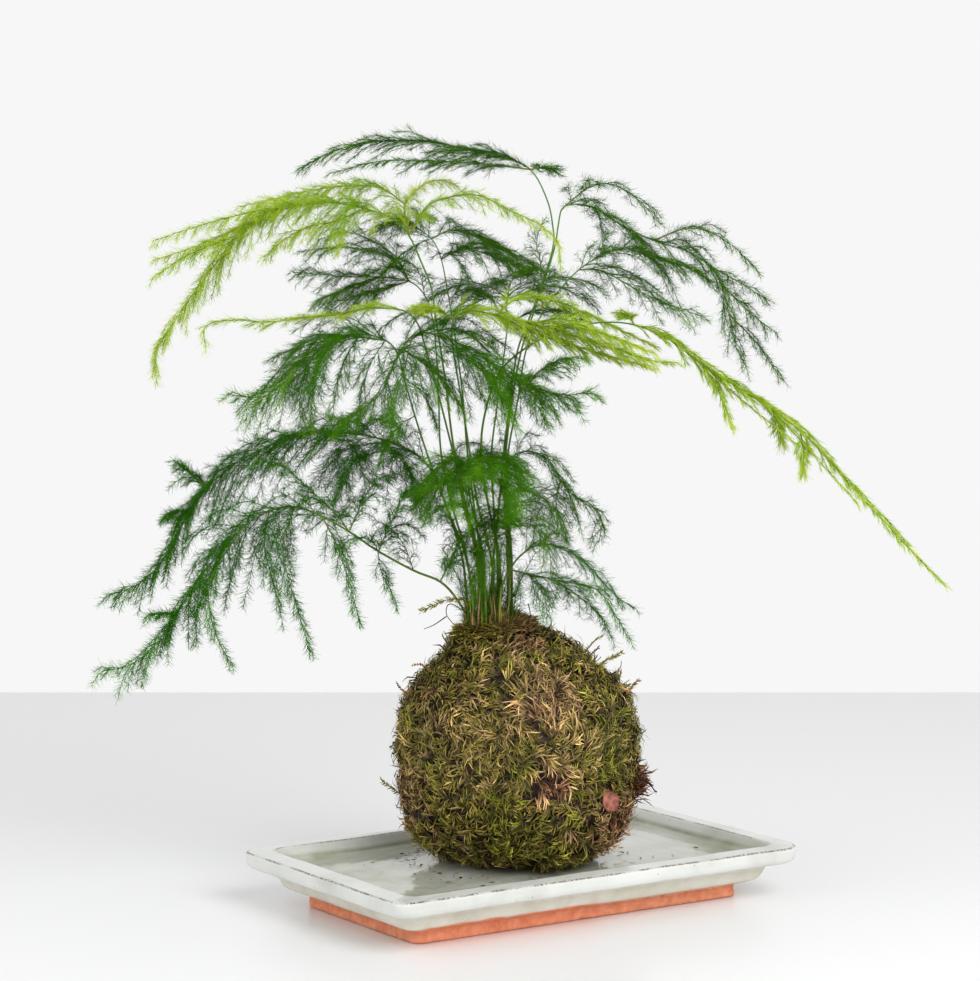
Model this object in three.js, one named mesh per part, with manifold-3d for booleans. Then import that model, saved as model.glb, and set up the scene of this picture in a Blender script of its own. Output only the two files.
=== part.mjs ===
// Kokedama: an asparagus fern that grows from a ball of soil wrapped in moss, on a glazed clay tray.
// Millimetres, +Z up. The origin is the middle of the tray's flat foot, on the surface it stands on.
// X runs along the tray's long side and Y along its short side.
// The plant and its ball are written in a frame of their own, turned about Z by PLANT_TURN:
// there x is the width of the plant as it is usually looked at, y its depth and z its height.
import * as THREE from "three";
import { mergeVertices } from "three/addons/utils/BufferGeometryUtils.js";
import Module from "manifold-3d";

const wasm = await Module();
wasm.setup();

// Driving dimensions of the tray
const TRAY_LENGTH = 240;
const TRAY_WIDTH = 150;
const TRAY_HEIGHT = 27;
const TRAY_FLOOR = 20.5;
const LIP_AT_ENDS = 12.5;
const LIP_AT_SIDES = 10;
const FLOOR_SLOPE = 4.5;
const CORNER_STEPS = 5;

// The tray's outline from its foot up to its rim: how far it lies inside the rim, its corner radius
// and its height
const TRAY_SECTION = [
  { inset: 24.5, corner: 5, z: 0 },
  { inset: 24.5, corner: 5, z: 6 },
  { inset: 16.6, corner: 8, z: 8.6 },
  { inset: 14.5, corner: 9, z: 10.2 },
  { inset: 12, corner: 10, z: 15 },
  { inset: 9.5, corner: 11, z: 17.2 },
  { inset: 1.6, corner: 14, z: 19 },
  { inset: 0, corner: 15, z: 25.4 },
  { inset: 0.9, corner: 15, z: 26.3 },
];
const LIP_CORNER = 8;
const FLOOR_CORNER = 6;

// The tray's corners, which differ: the side each one is on, and the largest radius it has
const TRAY_CORNERS = [
  { along: 1, across: 1, most: 15 },
  { along: -1, across: 1, most: 10 },
  { along: -1, across: -1, most: 6 },
  { along: 1, across: -1, most: 14 },
];

// Driving dimensions of the ball
const PLANT_TURN = -33.9;
const GAP = 0.3;
const BALL_CENTRE = new THREE.Vector3(-3, 0, 76.4);
const BALL_RADIUS = 59;
const BALL_SAG = 57;
const BALL_FULLNESS = 3;
const MOSS_AROUND = 40;
const MOSS_UP = 23;
const LUMP = 0.7;
const LUMP_WAVES = [[6.1, 0, 2.1], [-3.2, 7.3, 0], [0, 4.4, 5.7]];
const TUFT = 0.8;
const TUFT_WAVES = [[15, 9, 4], [-8, 16, 7], [12, -13, 6], [5, 8, 19]];
const SHOULDER_X = -20;
const SHOULDER_RISE = 8.5;
const SHOULDER_SPAN = 24;
const SOIL_RADIUS = 49.6;
const SOIL_AROUND = 16;
const SOIL_UP = 10;

// Driving dimensions of the crown, where the stems stand in the soil
const CROWN_X = -17;
const CROWN_RADIUS = 14.2;
const CROWN_SIDES = 16;
const CROWN_FOOT = 104;
const CROWN_TOP = 136.5;
const CROWN_CUT_TOP = 160;
const RINGS = [
  { radius: 0, stems: 1 },
  { radius: 5.2, stems: 5, start: 18 },
  { radius: 11, stems: 11, start: 0 },
];
const HOLE_CLEARANCE = 0.5;
const HOLE_SIDES = 6;
const STEM_BOTTOM = 122;
const STEM_STRAIGHT_TOP = 140;

// Driving dimensions of the fern. Spreads are in degrees, and the whorl's turn and the needle's lean
// are in radians.
const STEM_RADIUS = 0.9;
const ARM_RADIUS = 0.7;
const SIDE_RADIUS = 0.5;
const TIP_SHARE = 0.55;
const ROOT_LENGTH = 1.6;
const ROOT_SHARE = 0.4;
const FORK_BARE = 3;
const SIDE_SPACING = 28;
const REACH_FALL = 0.8;
const REACH_PLAY = 0.4;
const SPREAD_FOOT = 52;
const SPREAD_TIP = 30;
const SPREAD_PLAY = 14;
const LIFT_PLAY = 0.6;
const SIDE_FACING = 0.6;
const SHORTEST_SIDE = 5;
const WHORL_SPACING = 14;
const WHORL_TURN = 0.7;
const NEEDLE_LENGTH = 5;
const NEEDLE_WIDTH = 0.9;
const NEEDLE_LEAN = 0.96;
const FROND_CLEARANCE = 0.35;
const FROND_SEEDS = 1000;

const COLOURS = {
  glaze: 0xdfe2db,
  moss: 0x77743a,
  soil: 0x4a3826,
  dark: 0x2f6b35,
  mid: 0x3f8a35,
  light: 0x8fb93c,
};

// The fronds, in the plant's frame. A stem starts at a spot of the crown, given as its ring and its
// place round that ring. Its first arm goes on from its end, and every other arm starts at a point of
// an earlier line. Hang is how far the side branches sink, as a share of their length. Reach is how
// long they are at an arm's foot, and roll tips them about the arm. All points are chosen by eye from
// the plant's outline.
const FRONDS = [
  {
    name: "frond_crest",
    tone: "dark",
    spot: [0, 0],
    hang: 0.18,
    stem: [
      [-15, 3, 170], [-12, 4, 199], [-10, 5, 221], [-7, 4, 246], [-3, 5, 273], [6, 7, 297], [14, 8, 322],
      [14, 8, 334], [11, 8, 347], [3, 9, 361],
    ],
    arms: [
      {
        reach: 48,
        roll: 8,
        path: [
          [-12, 14, 368], [-31, 18, 372], [-51, 22, 375], [-71, 26, 375], [-89, 30, 372], [-101, 33, 367],
          [-110, 35, 362],
        ],
      },
      { reach: 19, path: [[3, 9, 361], [-14, 2, 363], [-30, -6, 364], [-66, -17, 365], [-93, -24, 359]] },
      { reach: 16, path: [[3, 9, 361], [10, 18, 362], [16, 27, 361]] },
    ],
  },
  {
    name: "frond_dark_right_upper",
    tone: "dark",
    spot: [2, 1],
    hang: 0.34,
    stem: [
      [-8, 8, 169], [-9, 9, 199], [-9, 10, 220], [-6, 11, 246], [-1, 13, 273], [7, 15, 297], [15, 16, 322],
      [17, 17, 334], [20, 19, 343],
    ],
    arms: [
      {
        reach: 48,
        roll: -12,
        path: [
          [33, 24, 343], [48, 30, 334], [65, 34, 326], [81, 37, 321], [92, 38, 314], [99, 38, 304],
          [103, 37, 289], [106, 36, 274], [111, 35, 264],
        ],
      },
      { reach: 26, path: [[20, 19, 343], [32, 30, 352], [43, 40, 354], [57, 50, 347], [70, 56, 333]] },
      { reach: 24, path: [[65, 34, 326], [80, 28, 332], [93, 23, 330], [105, 19, 322], [116, 16, 310]] },
      { reach: 19, path: [[92, 38, 314], [105, 44, 307], [115, 50, 301], [125, 55, 295]] },
      { reach: 18, path: [[99, 38, 304], [110, 32, 293], [118, 27, 286], [126, 22, 280]] },
      { reach: 16, path: [[103, 37, 289], [116, 41, 276], [124, 43, 265], [130, 45, 256]] },
    ],
  },
  {
    name: "frond_dark_right",
    tone: "dark",
    spot: [2, 0],
    hang: 0.3,
    stem: [
      [-6, -1, 170], [-8, -1, 200], [-8, -1, 221], [-3, -1, 249], [1, 0, 273], [9, 3, 291], [18, 6, 303],
      [27, 10, 312],
    ],
    arms: [
      {
        reach: 38,
        roll: -15,
        path: [[38, 13, 319], [51, 17, 322], [65, 22, 318], [80, 26, 313], [94, 29, 306]],
      },
      {
        reach: 35,
        roll: -15,
        path: [[27, 10, 312], [37, 1, 312], [49, -6, 306], [62, -11, 299], [86, -18, 290]],
      },
      { reach: 18, path: [[9, 3, 291], [8, -3, 316], [6, -6, 323], [7, -9, 331], [10, -11, 337]] },
    ],
  },
  {
    name: "frond_back_right",
    tone: "dark",
    spot: [2, 2],
    hang: 0.3,
    stem: [
      [-13, 13, 168], [-15, 17, 198], [-16, 20, 220], [-13, 24, 245], [-10, 28, 267], [-8, 32, 284],
      [-8, 37, 297],
    ],
    arms: [
      { reach: 42, roll: -10, path: [[1, 47, 304], [15, 58, 307], [28, 68, 306], [40, 77, 301]] },
      { reach: 38, roll: 10, path: [[-8, 37, 297], [-17, 45, 303], [-29, 53, 304], [-50, 66, 296]] },
      { reach: 38, path: [[-8, 37, 297], [-6, 55, 305], [-1, 72, 309], [3, 90, 308]] },
      { reach: 32, path: [[-8, 37, 297], [-16, 36, 298], [-28, 38, 293], [-40, 42, 285]] },
      { reach: 32, path: [[-8, 37, 297], [12, 42, 303], [24, 48, 300], [35, 54, 293]] },
    ],
  },
  {
    name: "frond_back",
    tone: "dark",
    spot: [2, 3],
    hang: 0.3,
    stem: [
      [-21, 14, 168], [-25, 17, 198], [-28, 20, 223], [-30, 23, 247], [-33, 26, 272], [-37, 30, 297],
      [-41, 34, 317], [-46, 38, 327],
    ],
    arms: [
      { reach: 38, path: [[-55, 44, 333], [-63, 51, 336], [-71, 58, 334]] },
      {
        reach: 38,
        roll: -8,
        path: [[-46, 38, 327], [-36, 43, 331], [-24, 47, 328], [-10, 51, 321], [7, 55, 312]],
      },
      { reach: 32, roll: -8, path: [[-41, 34, 317], [-29, 28, 322], [-14, 22, 318], [0, 17, 313]] },
    ],
  },
  {
    name: "frond_back_left",
    tone: "dark",
    spot: [2, 4],
    hang: 0.36,
    stem: [
      [-28, 11, 169], [-36, 13, 198], [-41, 15, 223], [-42, 17, 248], [-43, 19, 268], [-45, 22, 287],
      [-49, 25, 299], [-57, 29, 306],
    ],
    arms: [
      { reach: 45, roll: 10, path: [[-72, 34, 308], [-87, 40, 308], [-102, 45, 309], [-116, 50, 310]] },
      {
        reach: 32,
        path: [[-57, 29, 306], [-64, 37, 318], [-76, 45, 326], [-90, 53, 330], [-104, 60, 326]],
      },
      { reach: 29, path: [[-72, 34, 308], [-80, 28, 304], [-91, 22, 301], [-102, 17, 297]] },
      { reach: 32, path: [[-57, 29, 306], [-68, 24, 319], [-81, 18, 322], [-95, 12, 323], [-110, 8, 321]] },
      { reach: 26, path: [[-57, 29, 306], [-73, 22, 301], [-85, 16, 298], [-95, 12, 292]] },
    ],
  },
  {
    name: "frond_light_left",
    tone: "light",
    spot: [1, 2],
    hang: 0.5,
    stem: [
      [-23, 2, 170], [-30, 1, 199], [-35, 0, 229], [-39, -2, 262], [-43, -4, 288], [-45, -5, 303],
      [-50, -6, 316], [-56, -7, 329], [-64, -9, 337],
    ],
    arms: [
      {
        reach: 32,
        roll: 12,
        path: [
          [-77, -14, 342], [-94, -20, 345], [-110, -26, 344], [-125, -31, 339], [-136, -34, 330],
          [-147, -37, 316], [-157, -39, 303], [-167, -41, 288], [-175, -42, 275], [-176, -42, 265],
        ],
      },
      {
        reach: 16,
        path: [[-94, -20, 345], [-114, -32, 343], [-136, -42, 339], [-157, -50, 333], [-175, -56, 327]],
      },
      { reach: 16, path: [[-110, -26, 344], [-132, -20, 335], [-156, -14, 325], [-179, -9, 317]] },
      { reach: 14, path: [[-136, -34, 330], [-148, -46, 325], [-161, -56, 319], [-174, -64, 310]] },
      {
        reach: 16,
        path: [
          [-56, -7, 329], [-47, -10, 343], [-34, -14, 348], [-21, -18, 348], [-7, -21, 341], [6, -24, 335],
          [15, -26, 327], [17, -27, 318],
        ],
      },
      { reach: 19, path: [[-56, -7, 329], [-58, 2, 344], [-50, 8, 353], [-41, 12, 356], [-33, 15, 353]] },
      {
        reach: 22,
        path: [[-58, 2, 344], [-70, 9, 352], [-85, 15, 353], [-104, 20, 351], [-140, 27, 343]],
      },
      {
        reach: 24,
        path: [[-77, -14, 342], [-91, -24, 336], [-104, -30, 333], [-115, -35, 327], [-124, -39, 319]],
      },
    ],
  },
  {
    name: "frond_light_low_left",
    tone: "light",
    spot: [1, 3],
    hang: 0.14,
    stem: [
      [-22, -6, 171], [-29, -7, 200], [-36, -8, 229], [-43, -10, 257], [-48, -11, 275], [-52, -12, 287],
      [-59, -14, 293],
    ],
    arms: [
      {
        reach: 19,
        path: [
          [-75, -18, 294], [-91, -22, 291], [-106, -26, 290], [-122, -30, 288], [-138, -34, 289],
          [-149, -37, 288], [-153, -38, 284], [-152, -39, 277],
        ],
      },
    ],
  },
  {
    name: "frond_light_low_right",
    tone: "light",
    spot: [1, 4],
    hang: 0.2,
    stem: [
      [-16, -6, 171], [-23, -9, 200], [-27, -12, 227], [-30, -15, 247], [-33, -17, 265], [-35, -19, 279],
      [-34, -21, 289],
    ],
    arms: [
      {
        reach: 22,
        path: [
          [-26, -23, 293], [-13, -26, 291], [4, -30, 287], [22, -33, 282], [42, -36, 276], [60, -38, 270],
          [71, -39, 269],
        ],
      },
      {
        reach: 16,
        path: [[-13, -26, 291], [-5, -19, 298], [10, -14, 299], [26, -10, 293], [64, -4, 275]],
      },
      { reach: 16, path: [[-34, -21, 289], [-41, -24, 293], [-51, -28, 295]] },
      { reach: 18, path: [[-13, -26, 291], [2, -24, 284], [22, -24, 277], [42, -25, 271], [58, -26, 267]] },
      { reach: 16, path: [[4, -30, 287], [17, -40, 290], [32, -45, 285], [46, -49, 280], [61, -52, 274]] },
    ],
  },
  {
    name: "frond_long_right",
    tone: "light",
    spot: [1, 0],
    hang: 0.18,
    stem: [
      [-12, -2, 170], [-18, -3, 200], [-21, -5, 226], [-18, -7, 247], [-11, -8, 264], [3, -9, 276],
      [20, -11, 284], [37, -12, 287], [53, -14, 286],
    ],
    arms: [
      {
        reach: 16,
        path: [
          [70, -16, 279], [86, -18, 267], [103, -20, 256], [119, -23, 246], [133, -25, 235], [147, -28, 221],
          [159, -30, 207], [174, -33, 191], [189, -35, 175], [196, -36, 168], [201, -37, 163],
        ],
      },
      { reach: 8, path: [[86, -18, 267], [92, -24, 257], [96, -28, 248], [99, -31, 239]] },
      { reach: 8, path: [[119, -23, 246], [123, -16, 238], [125, -12, 229]] },
      { reach: 8, path: [[133, -25, 235], [134, -30, 226], [134, -33, 216]] },
      { reach: 11, path: [[53, -14, 286], [51, -5, 290], [47, 2, 291]] },
    ],
  },
  {
    name: "frond_mid",
    tone: "mid",
    spot: [2, 7],
    hang: 0.42,
    stem: [
      [-28, -11, 171], [-38, -13, 198], [-47, -15, 223], [-53, -17, 242], [-58, -19, 260], [-61, -21, 272],
      [-67, -24, 279],
    ],
    arms: [
      {
        reach: 54,
        roll: 12,
        path: [
          [-79, -28, 282], [-93, -33, 278], [-104, -38, 270], [-114, -42, 260], [-125, -46, 253],
          [-138, -50, 254],
        ],
      },
      { reach: 32, path: [[-67, -24, 279], [-94, -14, 281], [-110, -6, 275], [-123, 0, 269]] },
      {
        reach: 51,
        roll: -12,
        path: [
          [-61, -21, 272], [-54, -22, 281], [-43, -25, 282], [-28, -30, 276], [-13, -35, 267], [0, -40, 258],
          [16, -44, 254], [31, -48, 255],
        ],
      },
      { reach: 26, path: [[-61, -21, 272], [-69, -30, 254], [-80, -37, 245], [-89, -43, 237]] },
      { reach: 22, path: [[-104, -38, 270], [-106, -22, 261], [-109, -13, 249], [-109, -7, 237]] },
      { reach: 22, path: [[-54, -22, 281], [-57, -40, 268], [-61, -52, 253], [-62, -60, 240]] },
      { reach: 26, path: [[-13, -35, 267], [-2, -22, 256], [6, -12, 247], [11, -4, 238]] },
      { reach: 22, path: [[0, -40, 258], [7, -54, 266], [17, -66, 272], [27, -76, 273]] },
      {
        reach: 32,
        path: [[-61, -21, 272], [-59, -30, 275], [-48, -36, 268], [-38, -42, 259], [-30, -46, 248]],
      },
      {
        reach: 32,
        path: [[-28, -30, 276], [-33, -44, 274], [-21, -52, 266], [-11, -58, 254], [-4, -62, 242]],
      },
    ],
  },
  {
    name: "frond_low_left_upper",
    tone: "dark",
    spot: [2, 5],
    hang: 0.5,
    stem: [[-30, 5, 169], [-36, 8, 189], [-41, 11, 203], [-47, 14, 215]],
    arms: [
      {
        reach: 51,
        roll: 30,
        path: [
          [-57, 17, 223], [-71, 21, 228], [-89, 25, 231], [-106, 29, 230], [-121, 33, 226], [-135, 37, 220],
          [-149, 41, 211], [-160, 44, 201], [-169, 47, 189], [-176, 49, 175], [-184, 51, 162],
          [-195, 53, 152], [-209, 55, 146],
        ],
      },
      { reach: 16, path: [[-160, 44, 201], [-168, 52, 208], [-177, 60, 214]] },
      { reach: 13, path: [[-169, 47, 189], [-174, 38, 190], [-179, 32, 188]] },
      { reach: 26, path: [[-89, 25, 231], [-86, 46, 218], [-90, 62, 205], [-96, 74, 193]] },
      { reach: 26, path: [[-71, 21, 228], [-61, 36, 216], [-55, 46, 203], [-52, 54, 187]] },
    ],
  },
  {
    name: "frond_low_left",
    tone: "dark",
    spot: [2, 6],
    hang: 0.5,
    stem: [
      [-33, -4, 151], [-41, -7, 160], [-54, -11, 166], [-71, -16, 176], [-85, -20, 186], [-98, -24, 194],
    ],
    arms: [
      {
        reach: 42,
        roll: 30,
        path: [
          [-111, -28, 199], [-123, -32, 197], [-135, -36, 190], [-146, -40, 178], [-157, -44, 164],
          [-167, -47, 148], [-177, -50, 134], [-189, -52, 125], [-201, -54, 123],
        ],
      },
      {
        reach: 26,
        path: [[-85, -20, 186], [-92, -11, 194], [-105, -3, 205], [-120, 4, 217], [-134, 10, 217]],
      },
      {
        reach: 14,
        path: [[-135, -36, 190], [-148, -50, 170], [-150, -58, 156], [-146, -63, 141], [-139, -66, 128]],
      },
      { reach: 14, path: [[-123, -32, 197], [-126, -22, 180], [-123, -15, 163], [-119, -9, 143]] },
      { reach: 14, path: [[-111, -28, 199], [-116, -38, 181], [-112, -46, 163], [-102, -54, 132]] },
      { reach: 14, path: [[-98, -24, 194], [-90, -32, 180], [-84, -38, 163], [-79, -43, 145]] },
      { reach: 26, path: [[-71, -16, 176], [-64, -28, 192], [-58, -38, 205], [-50, -46, 211]] },
      { reach: 22, path: [[-85, -20, 186], [-79, -4, 199], [-73, 8, 208], [-63, 18, 211]] },
      { reach: 10, path: [[-167, -47, 148], [-171, -56, 151], [-177, -64, 151]] },
      { reach: 24, path: [[-41, -7, 160], [-33, -18, 179], [-35, -26, 191], [-41, -34, 200]] },
    ],
  },
  {
    name: "frond_front",
    tone: "mid",
    spot: [2, 8],
    hang: 0.36,
    stem: [[-20, -15, 172], [-24, -19, 192], [-27, -24, 207], [-27, -31, 217]],
    arms: [
      { reach: 32, path: [[-25, -42, 223], [-21, -56, 224], [-19, -70, 222], [-17, -82, 217]] },
      { reach: 29, path: [[-27, -31, 217], [-33, -38, 222], [-40, -48, 220], [-46, -56, 213]] },
      { reach: 29, path: [[-27, -31, 217], [-18, -38, 224], [-7, -48, 223], [3, -57, 215]] },
      { reach: 22, path: [[-25, -42, 223], [-30, -58, 220], [-33, -70, 212], [-34, -78, 203]] },
      { reach: 22, path: [[-21, -56, 224], [-12, -66, 221], [-6, -74, 213], [-4, -80, 203]] },
      { reach: 28, path: [[-27, -31, 217], [-27, -46, 216], [-26, -57, 208], [-25, -62, 197]] },
      { reach: 28, path: [[-27, -31, 217], [-37, -40, 215], [-43, -46, 207], [-46, -50, 197]] },
      { reach: 28, path: [[-27, -31, 217], [-16, -42, 216], [-9, -50, 208], [-5, -54, 197]] },
    ],
  },
  {
    name: "frond_low_right_upper",
    tone: "dark",
    spot: [2, 10],
    hang: 0.42,
    stem: [[-7, -8, 166], [-8, -10, 186], [-9, -11, 203], [-8, -12, 216]],
    arms: [
      {
        reach: 32,
        roll: -20,
        path: [
          [-4, -12, 223], [4, -11, 224], [12, -9, 219], [18, -6, 210], [24, -3, 202], [32, 0, 198],
          [38, 2, 191], [38, 4, 184], [37, 5, 178],
        ],
      },
      { reach: 26, path: [[-8, -10, 186], [-4, -22, 199], [1, -33, 201], [6, -42, 195], [10, -49, 184]] },
      { reach: 26, path: [[-8, -10, 186], [-13, -20, 197], [-18, -30, 194], [-20, -38, 185]] },
      { reach: 22, path: [[18, -6, 210], [16, 10, 199], [18, 22, 187], [21, 31, 176]] },
      { reach: 26, path: [[-8, -10, 186], [-13, -24, 192], [-18, -34, 184], [-20, -40, 170]] },
      { reach: 26, path: [[-8, -10, 186], [2, -24, 190], [10, -34, 182], [14, -40, 168]] },
      { reach: 24, path: [[-8, -10, 186], [-16, -24, 180], [-22, -32, 170], [-25, -36, 156]] },
      { reach: 24, path: [[-8, -10, 186], [-20, -26, 190], [-31, -36, 182], [-37, -40, 168]] },
      { reach: 24, path: [[-9, -11, 203], [2, -20, 206], [14, -26, 198], [20, -30, 184]] },
    ],
  },
  {
    name: "frond_low_right",
    tone: "mid",
    spot: [2, 9],
    hang: 0.42,
    stem: [[-11, -13, 157], [-7, -16, 167], [-2, -19, 174]],
    arms: [
      {
        reach: 26,
        path: [[5, -21, 179], [12, -23, 180], [21, -25, 177], [29, -27, 172], [43, -31, 157], [53, -33, 150]],
      },
      {
        reach: 22,
        path: [[-7, -16, 167], [2, -26, 166], [15, -33, 164], [27, -38, 162], [37, -42, 158], [50, -47, 137]],
      },
      { reach: 19, path: [[15, -33, 164], [23, -22, 157], [31, -14, 150], [38, -8, 142], [43, -3, 132]] },
      { reach: 13, path: [[2, -26, 166], [9, -36, 157], [11, -42, 147]] },
    ],
  },
];

const UP = new THREE.Vector3(0, 0, 1);
const FIRST_CORNER = new THREE.Vector3(0.3, 1, 0.1);

function vector(point) {
  return new THREE.Vector3(point[0], point[1], point[2]);
}

// Joining and cutting
function toSolid(geometry) {
  geometry.deleteAttribute("normal");
  geometry.deleteAttribute("uv");
  const merged = mergeVertices(geometry, 1e-4);
  const vertProperties = new Float32Array(merged.attributes.position.array);
  const triVerts = new Uint32Array(merged.index.array);
  return new wasm.Manifold(new wasm.Mesh({ numProp: 3, vertProperties, triVerts }));
}

function toMesh(name, solid, colour, roughness) {
  const { vertProperties, triVerts } = solid.getMesh();
  const geometry = new THREE.BufferGeometry();
  geometry.setAttribute("position", new THREE.BufferAttribute(vertProperties, 3));
  geometry.setIndex(new THREE.BufferAttribute(triVerts, 1));
  const material = new THREE.MeshStandardMaterial({ color: colour, roughness, metalness: 0 });
  const mesh = new THREE.Mesh(geometry, material);
  mesh.name = name;
  return mesh;
}

function joined(solids) {
  const whole = solids.reduce((sum, solid) => sum.add(solid));
  const bodies = whole.decompose();
  bodies.sort((one, other) => other.volume() - one.volume());
  return bodies[0];
}

function seededDraw(seed) {
  let state = seed >>> 0;
  return () => {
    state = (Math.imul(state, 1664525) + 1013904223) >>> 0;
    return state / 4294967296;
  };
}

// The tray: rounded rectangles stacked from its foot to its rim and down to its floor
function trayOutline(insetEnds, insetSides, corner) {
  const halfLength = TRAY_LENGTH / 2 - insetEnds;
  const halfWidth = TRAY_WIDTH / 2 - insetSides;
  const quarter = Math.PI / 2;
  return TRAY_CORNERS.flatMap(({ along, across, most }, k) => {
    const radius = Math.min(corner, most);
    const x = along * (halfLength - radius);
    const y = across * (halfWidth - radius);
    const arc = new THREE.EllipseCurve(x, y, radius, radius, k * quarter, (k + 1) * quarter);
    return arc.getPoints(CORNER_STEPS);
  });
}

function traySection() {
  const floorEnds = LIP_AT_ENDS + FLOOR_SLOPE;
  const floorSides = LIP_AT_SIDES + FLOOR_SLOPE;
  return [
    ...TRAY_SECTION.map(({ inset, corner, z }) => ({ ends: inset, sides: inset, corner, z })),
    { ends: LIP_AT_ENDS, sides: LIP_AT_SIDES, corner: LIP_CORNER, z: TRAY_HEIGHT },
    { ends: floorEnds, sides: floorSides, corner: FLOOR_CORNER, z: TRAY_FLOOR },
  ];
}

function makeTray() {
  const rings = traySection().map(({ ends, sides, corner, z }) =>
    trayOutline(ends, sides, corner).map((point) => [point.x, point.y, z]),
  );
  const around = rings[0].length;
  const positions = rings.flat(2);
  const faces = [];
  for (let ring = 0; ring + 1 < rings.length; ring++) {
    for (let i = 0; i < around; i++) {
      const here = ring * around + i;
      const next = ring * around + ((i + 1) % around);
      faces.push(here, next, next + around, here, next + around, here + around);
    }
  }
  const under = positions.length / 3;
  positions.push(0, 0, 0, 0, 0, TRAY_FLOOR);
  const top = (rings.length - 1) * around;
  for (let i = 0; i < around; i++) {
    const next = (i + 1) % around;
    faces.push(under, next, i, under + 1, top + i, top + next);
  }
  const geometry = new THREE.BufferGeometry();
  geometry.setAttribute("position", new THREE.Float32BufferAttribute(positions, 3));
  geometry.setIndex(faces);
  return toMesh("tray", toSolid(geometry), COLOURS.glaze, 0.25);
}

// The ball: round above, fuller and sagged below, flat where it lies on the tray
function ballReach(way) {
  const flat = Math.hypot(way.x, way.y);
  if (way.z > 0) return BALL_RADIUS;
  const sum = Math.pow(flat / BALL_RADIUS, BALL_FULLNESS) + Math.pow(-way.z / BALL_SAG, BALL_FULLNESS);
  return Math.pow(sum, -1 / BALL_FULLNESS);
}

// The moss swells and dips by two sets of waves, broad lumps and the tufts on them
function swell(way, waves) {
  return waves.reduce((sum, wave) => sum + Math.sin(way.dot(vector(wave))), 0);
}

function mossRelief(way) {
  return LUMP * swell(way, LUMP_WAVES) + TUFT * swell(way, TUFT_WAVES);
}

function makeMoss() {
  const geometry = new THREE.SphereGeometry(1, MOSS_AROUND, MOSS_UP);
  geometry.rotateX(Math.PI / 2);
  const place = geometry.attributes.position;
  const lowest = TRAY_FLOOR + GAP;
  for (let i = 0; i < place.count; i++) {
    const way = new THREE.Vector3().fromBufferAttribute(place, i).normalize();
    const spot = way.clone().multiplyScalar(ballReach(way) + mossRelief(way)).add(BALL_CENTRE);
    const offCrown = Math.hypot(spot.x - SHOULDER_X, spot.y) / SHOULDER_SPAN;
    if (way.z > 0) spot.z += SHOULDER_RISE * Math.exp(-offCrown * offCrown);
    place.setXYZ(i, spot.x, spot.y, Math.max(spot.z, lowest));
  }
  const cavity = soilGeometry(SOIL_RADIUS + GAP);
  const opening = crownPost(CROWN_RADIUS + GAP, CROWN_FOOT, CROWN_CUT_TOP);
  const wrap = toSolid(geometry).subtract(toSolid(cavity)).subtract(toSolid(opening));
  return toMesh("moss_wrap", wrap, COLOURS.moss, 0.95);
}

function soilGeometry(radius) {
  const geometry = new THREE.SphereGeometry(radius, SOIL_AROUND, SOIL_UP);
  geometry.rotateX(Math.PI / 2);
  geometry.translate(BALL_CENTRE.x, BALL_CENTRE.y, BALL_CENTRE.z);
  return geometry;
}

function crownPost(radius, bottom, top) {
  const geometry = new THREE.CylinderGeometry(radius, radius, top - bottom, CROWN_SIDES);
  geometry.rotateX(Math.PI / 2);
  geometry.translate(CROWN_X, 0, (bottom + top) / 2);
  return geometry;
}

function crownSpot([ring, step]) {
  const { radius, stems, start = 0 } = RINGS[ring];
  const angle = THREE.MathUtils.degToRad(start + (360 * step) / stems);
  return [CROWN_X + radius * Math.cos(angle), radius * Math.sin(angle)];
}

function stemHole(spot) {
  const [x, y] = crownSpot(spot);
  const radius = STEM_RADIUS + HOLE_CLEARANCE;
  const bottom = STEM_BOTTOM - GAP;
  const hole = new THREE.CylinderGeometry(radius, radius, CROWN_CUT_TOP - bottom, HOLE_SIDES);
  hole.rotateX(Math.PI / 2);
  hole.translate(x, y, (CROWN_CUT_TOP + bottom) / 2);
  return hole;
}

function makeSoil() {
  let soil = toSolid(soilGeometry(SOIL_RADIUS)).add(toSolid(crownPost(CROWN_RADIUS, CROWN_FOOT, CROWN_TOP)));
  for (const frond of FRONDS) soil = soil.subtract(toSolid(stemHole(frond.spot)));
  return toMesh("soil_ball", soil, COLOURS.soil, 1);
}

// The fern: stems, arms and side branches are tapered three-sided rods along lines of straight
// stretches. A side branch or a needle grows out of a face of the rod that bears it.
function lineThrough(points) {
  const line = new THREE.CurvePath();
  for (let i = 0; i + 1 < points.length; i++) line.add(new THREE.LineCurve3(points[i], points[i + 1]));
  return line;
}

// Stretches of all fronds so far, so that a later branch or needle keeps clear of them
const reserved = [];

function reserve(stretches, radius, id, node) {
  for (const { v1, v2 } of stretches) {
    reserved.push({ from: v1, to: v2, radius, id, node, box: new THREE.Box3().setFromPoints([v1, v2]) });
  }
}

function isClear(stretches, radius, hostId, node) {
  return stretches.every(({ v1, v2 }) => {
    const reach = new THREE.Box3().setFromPoints([v1, v2]).expandByScalar(4 * STEM_RADIUS);
    return reserved.every((other) => {
      if (other.id === hostId || other.node === node || !reach.intersectsBox(other.box)) return true;
      return gapBetween(v1, v2, other.from, other.to) > radius + other.radius + FROND_CLEARANCE;
    });
  });
}

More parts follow.
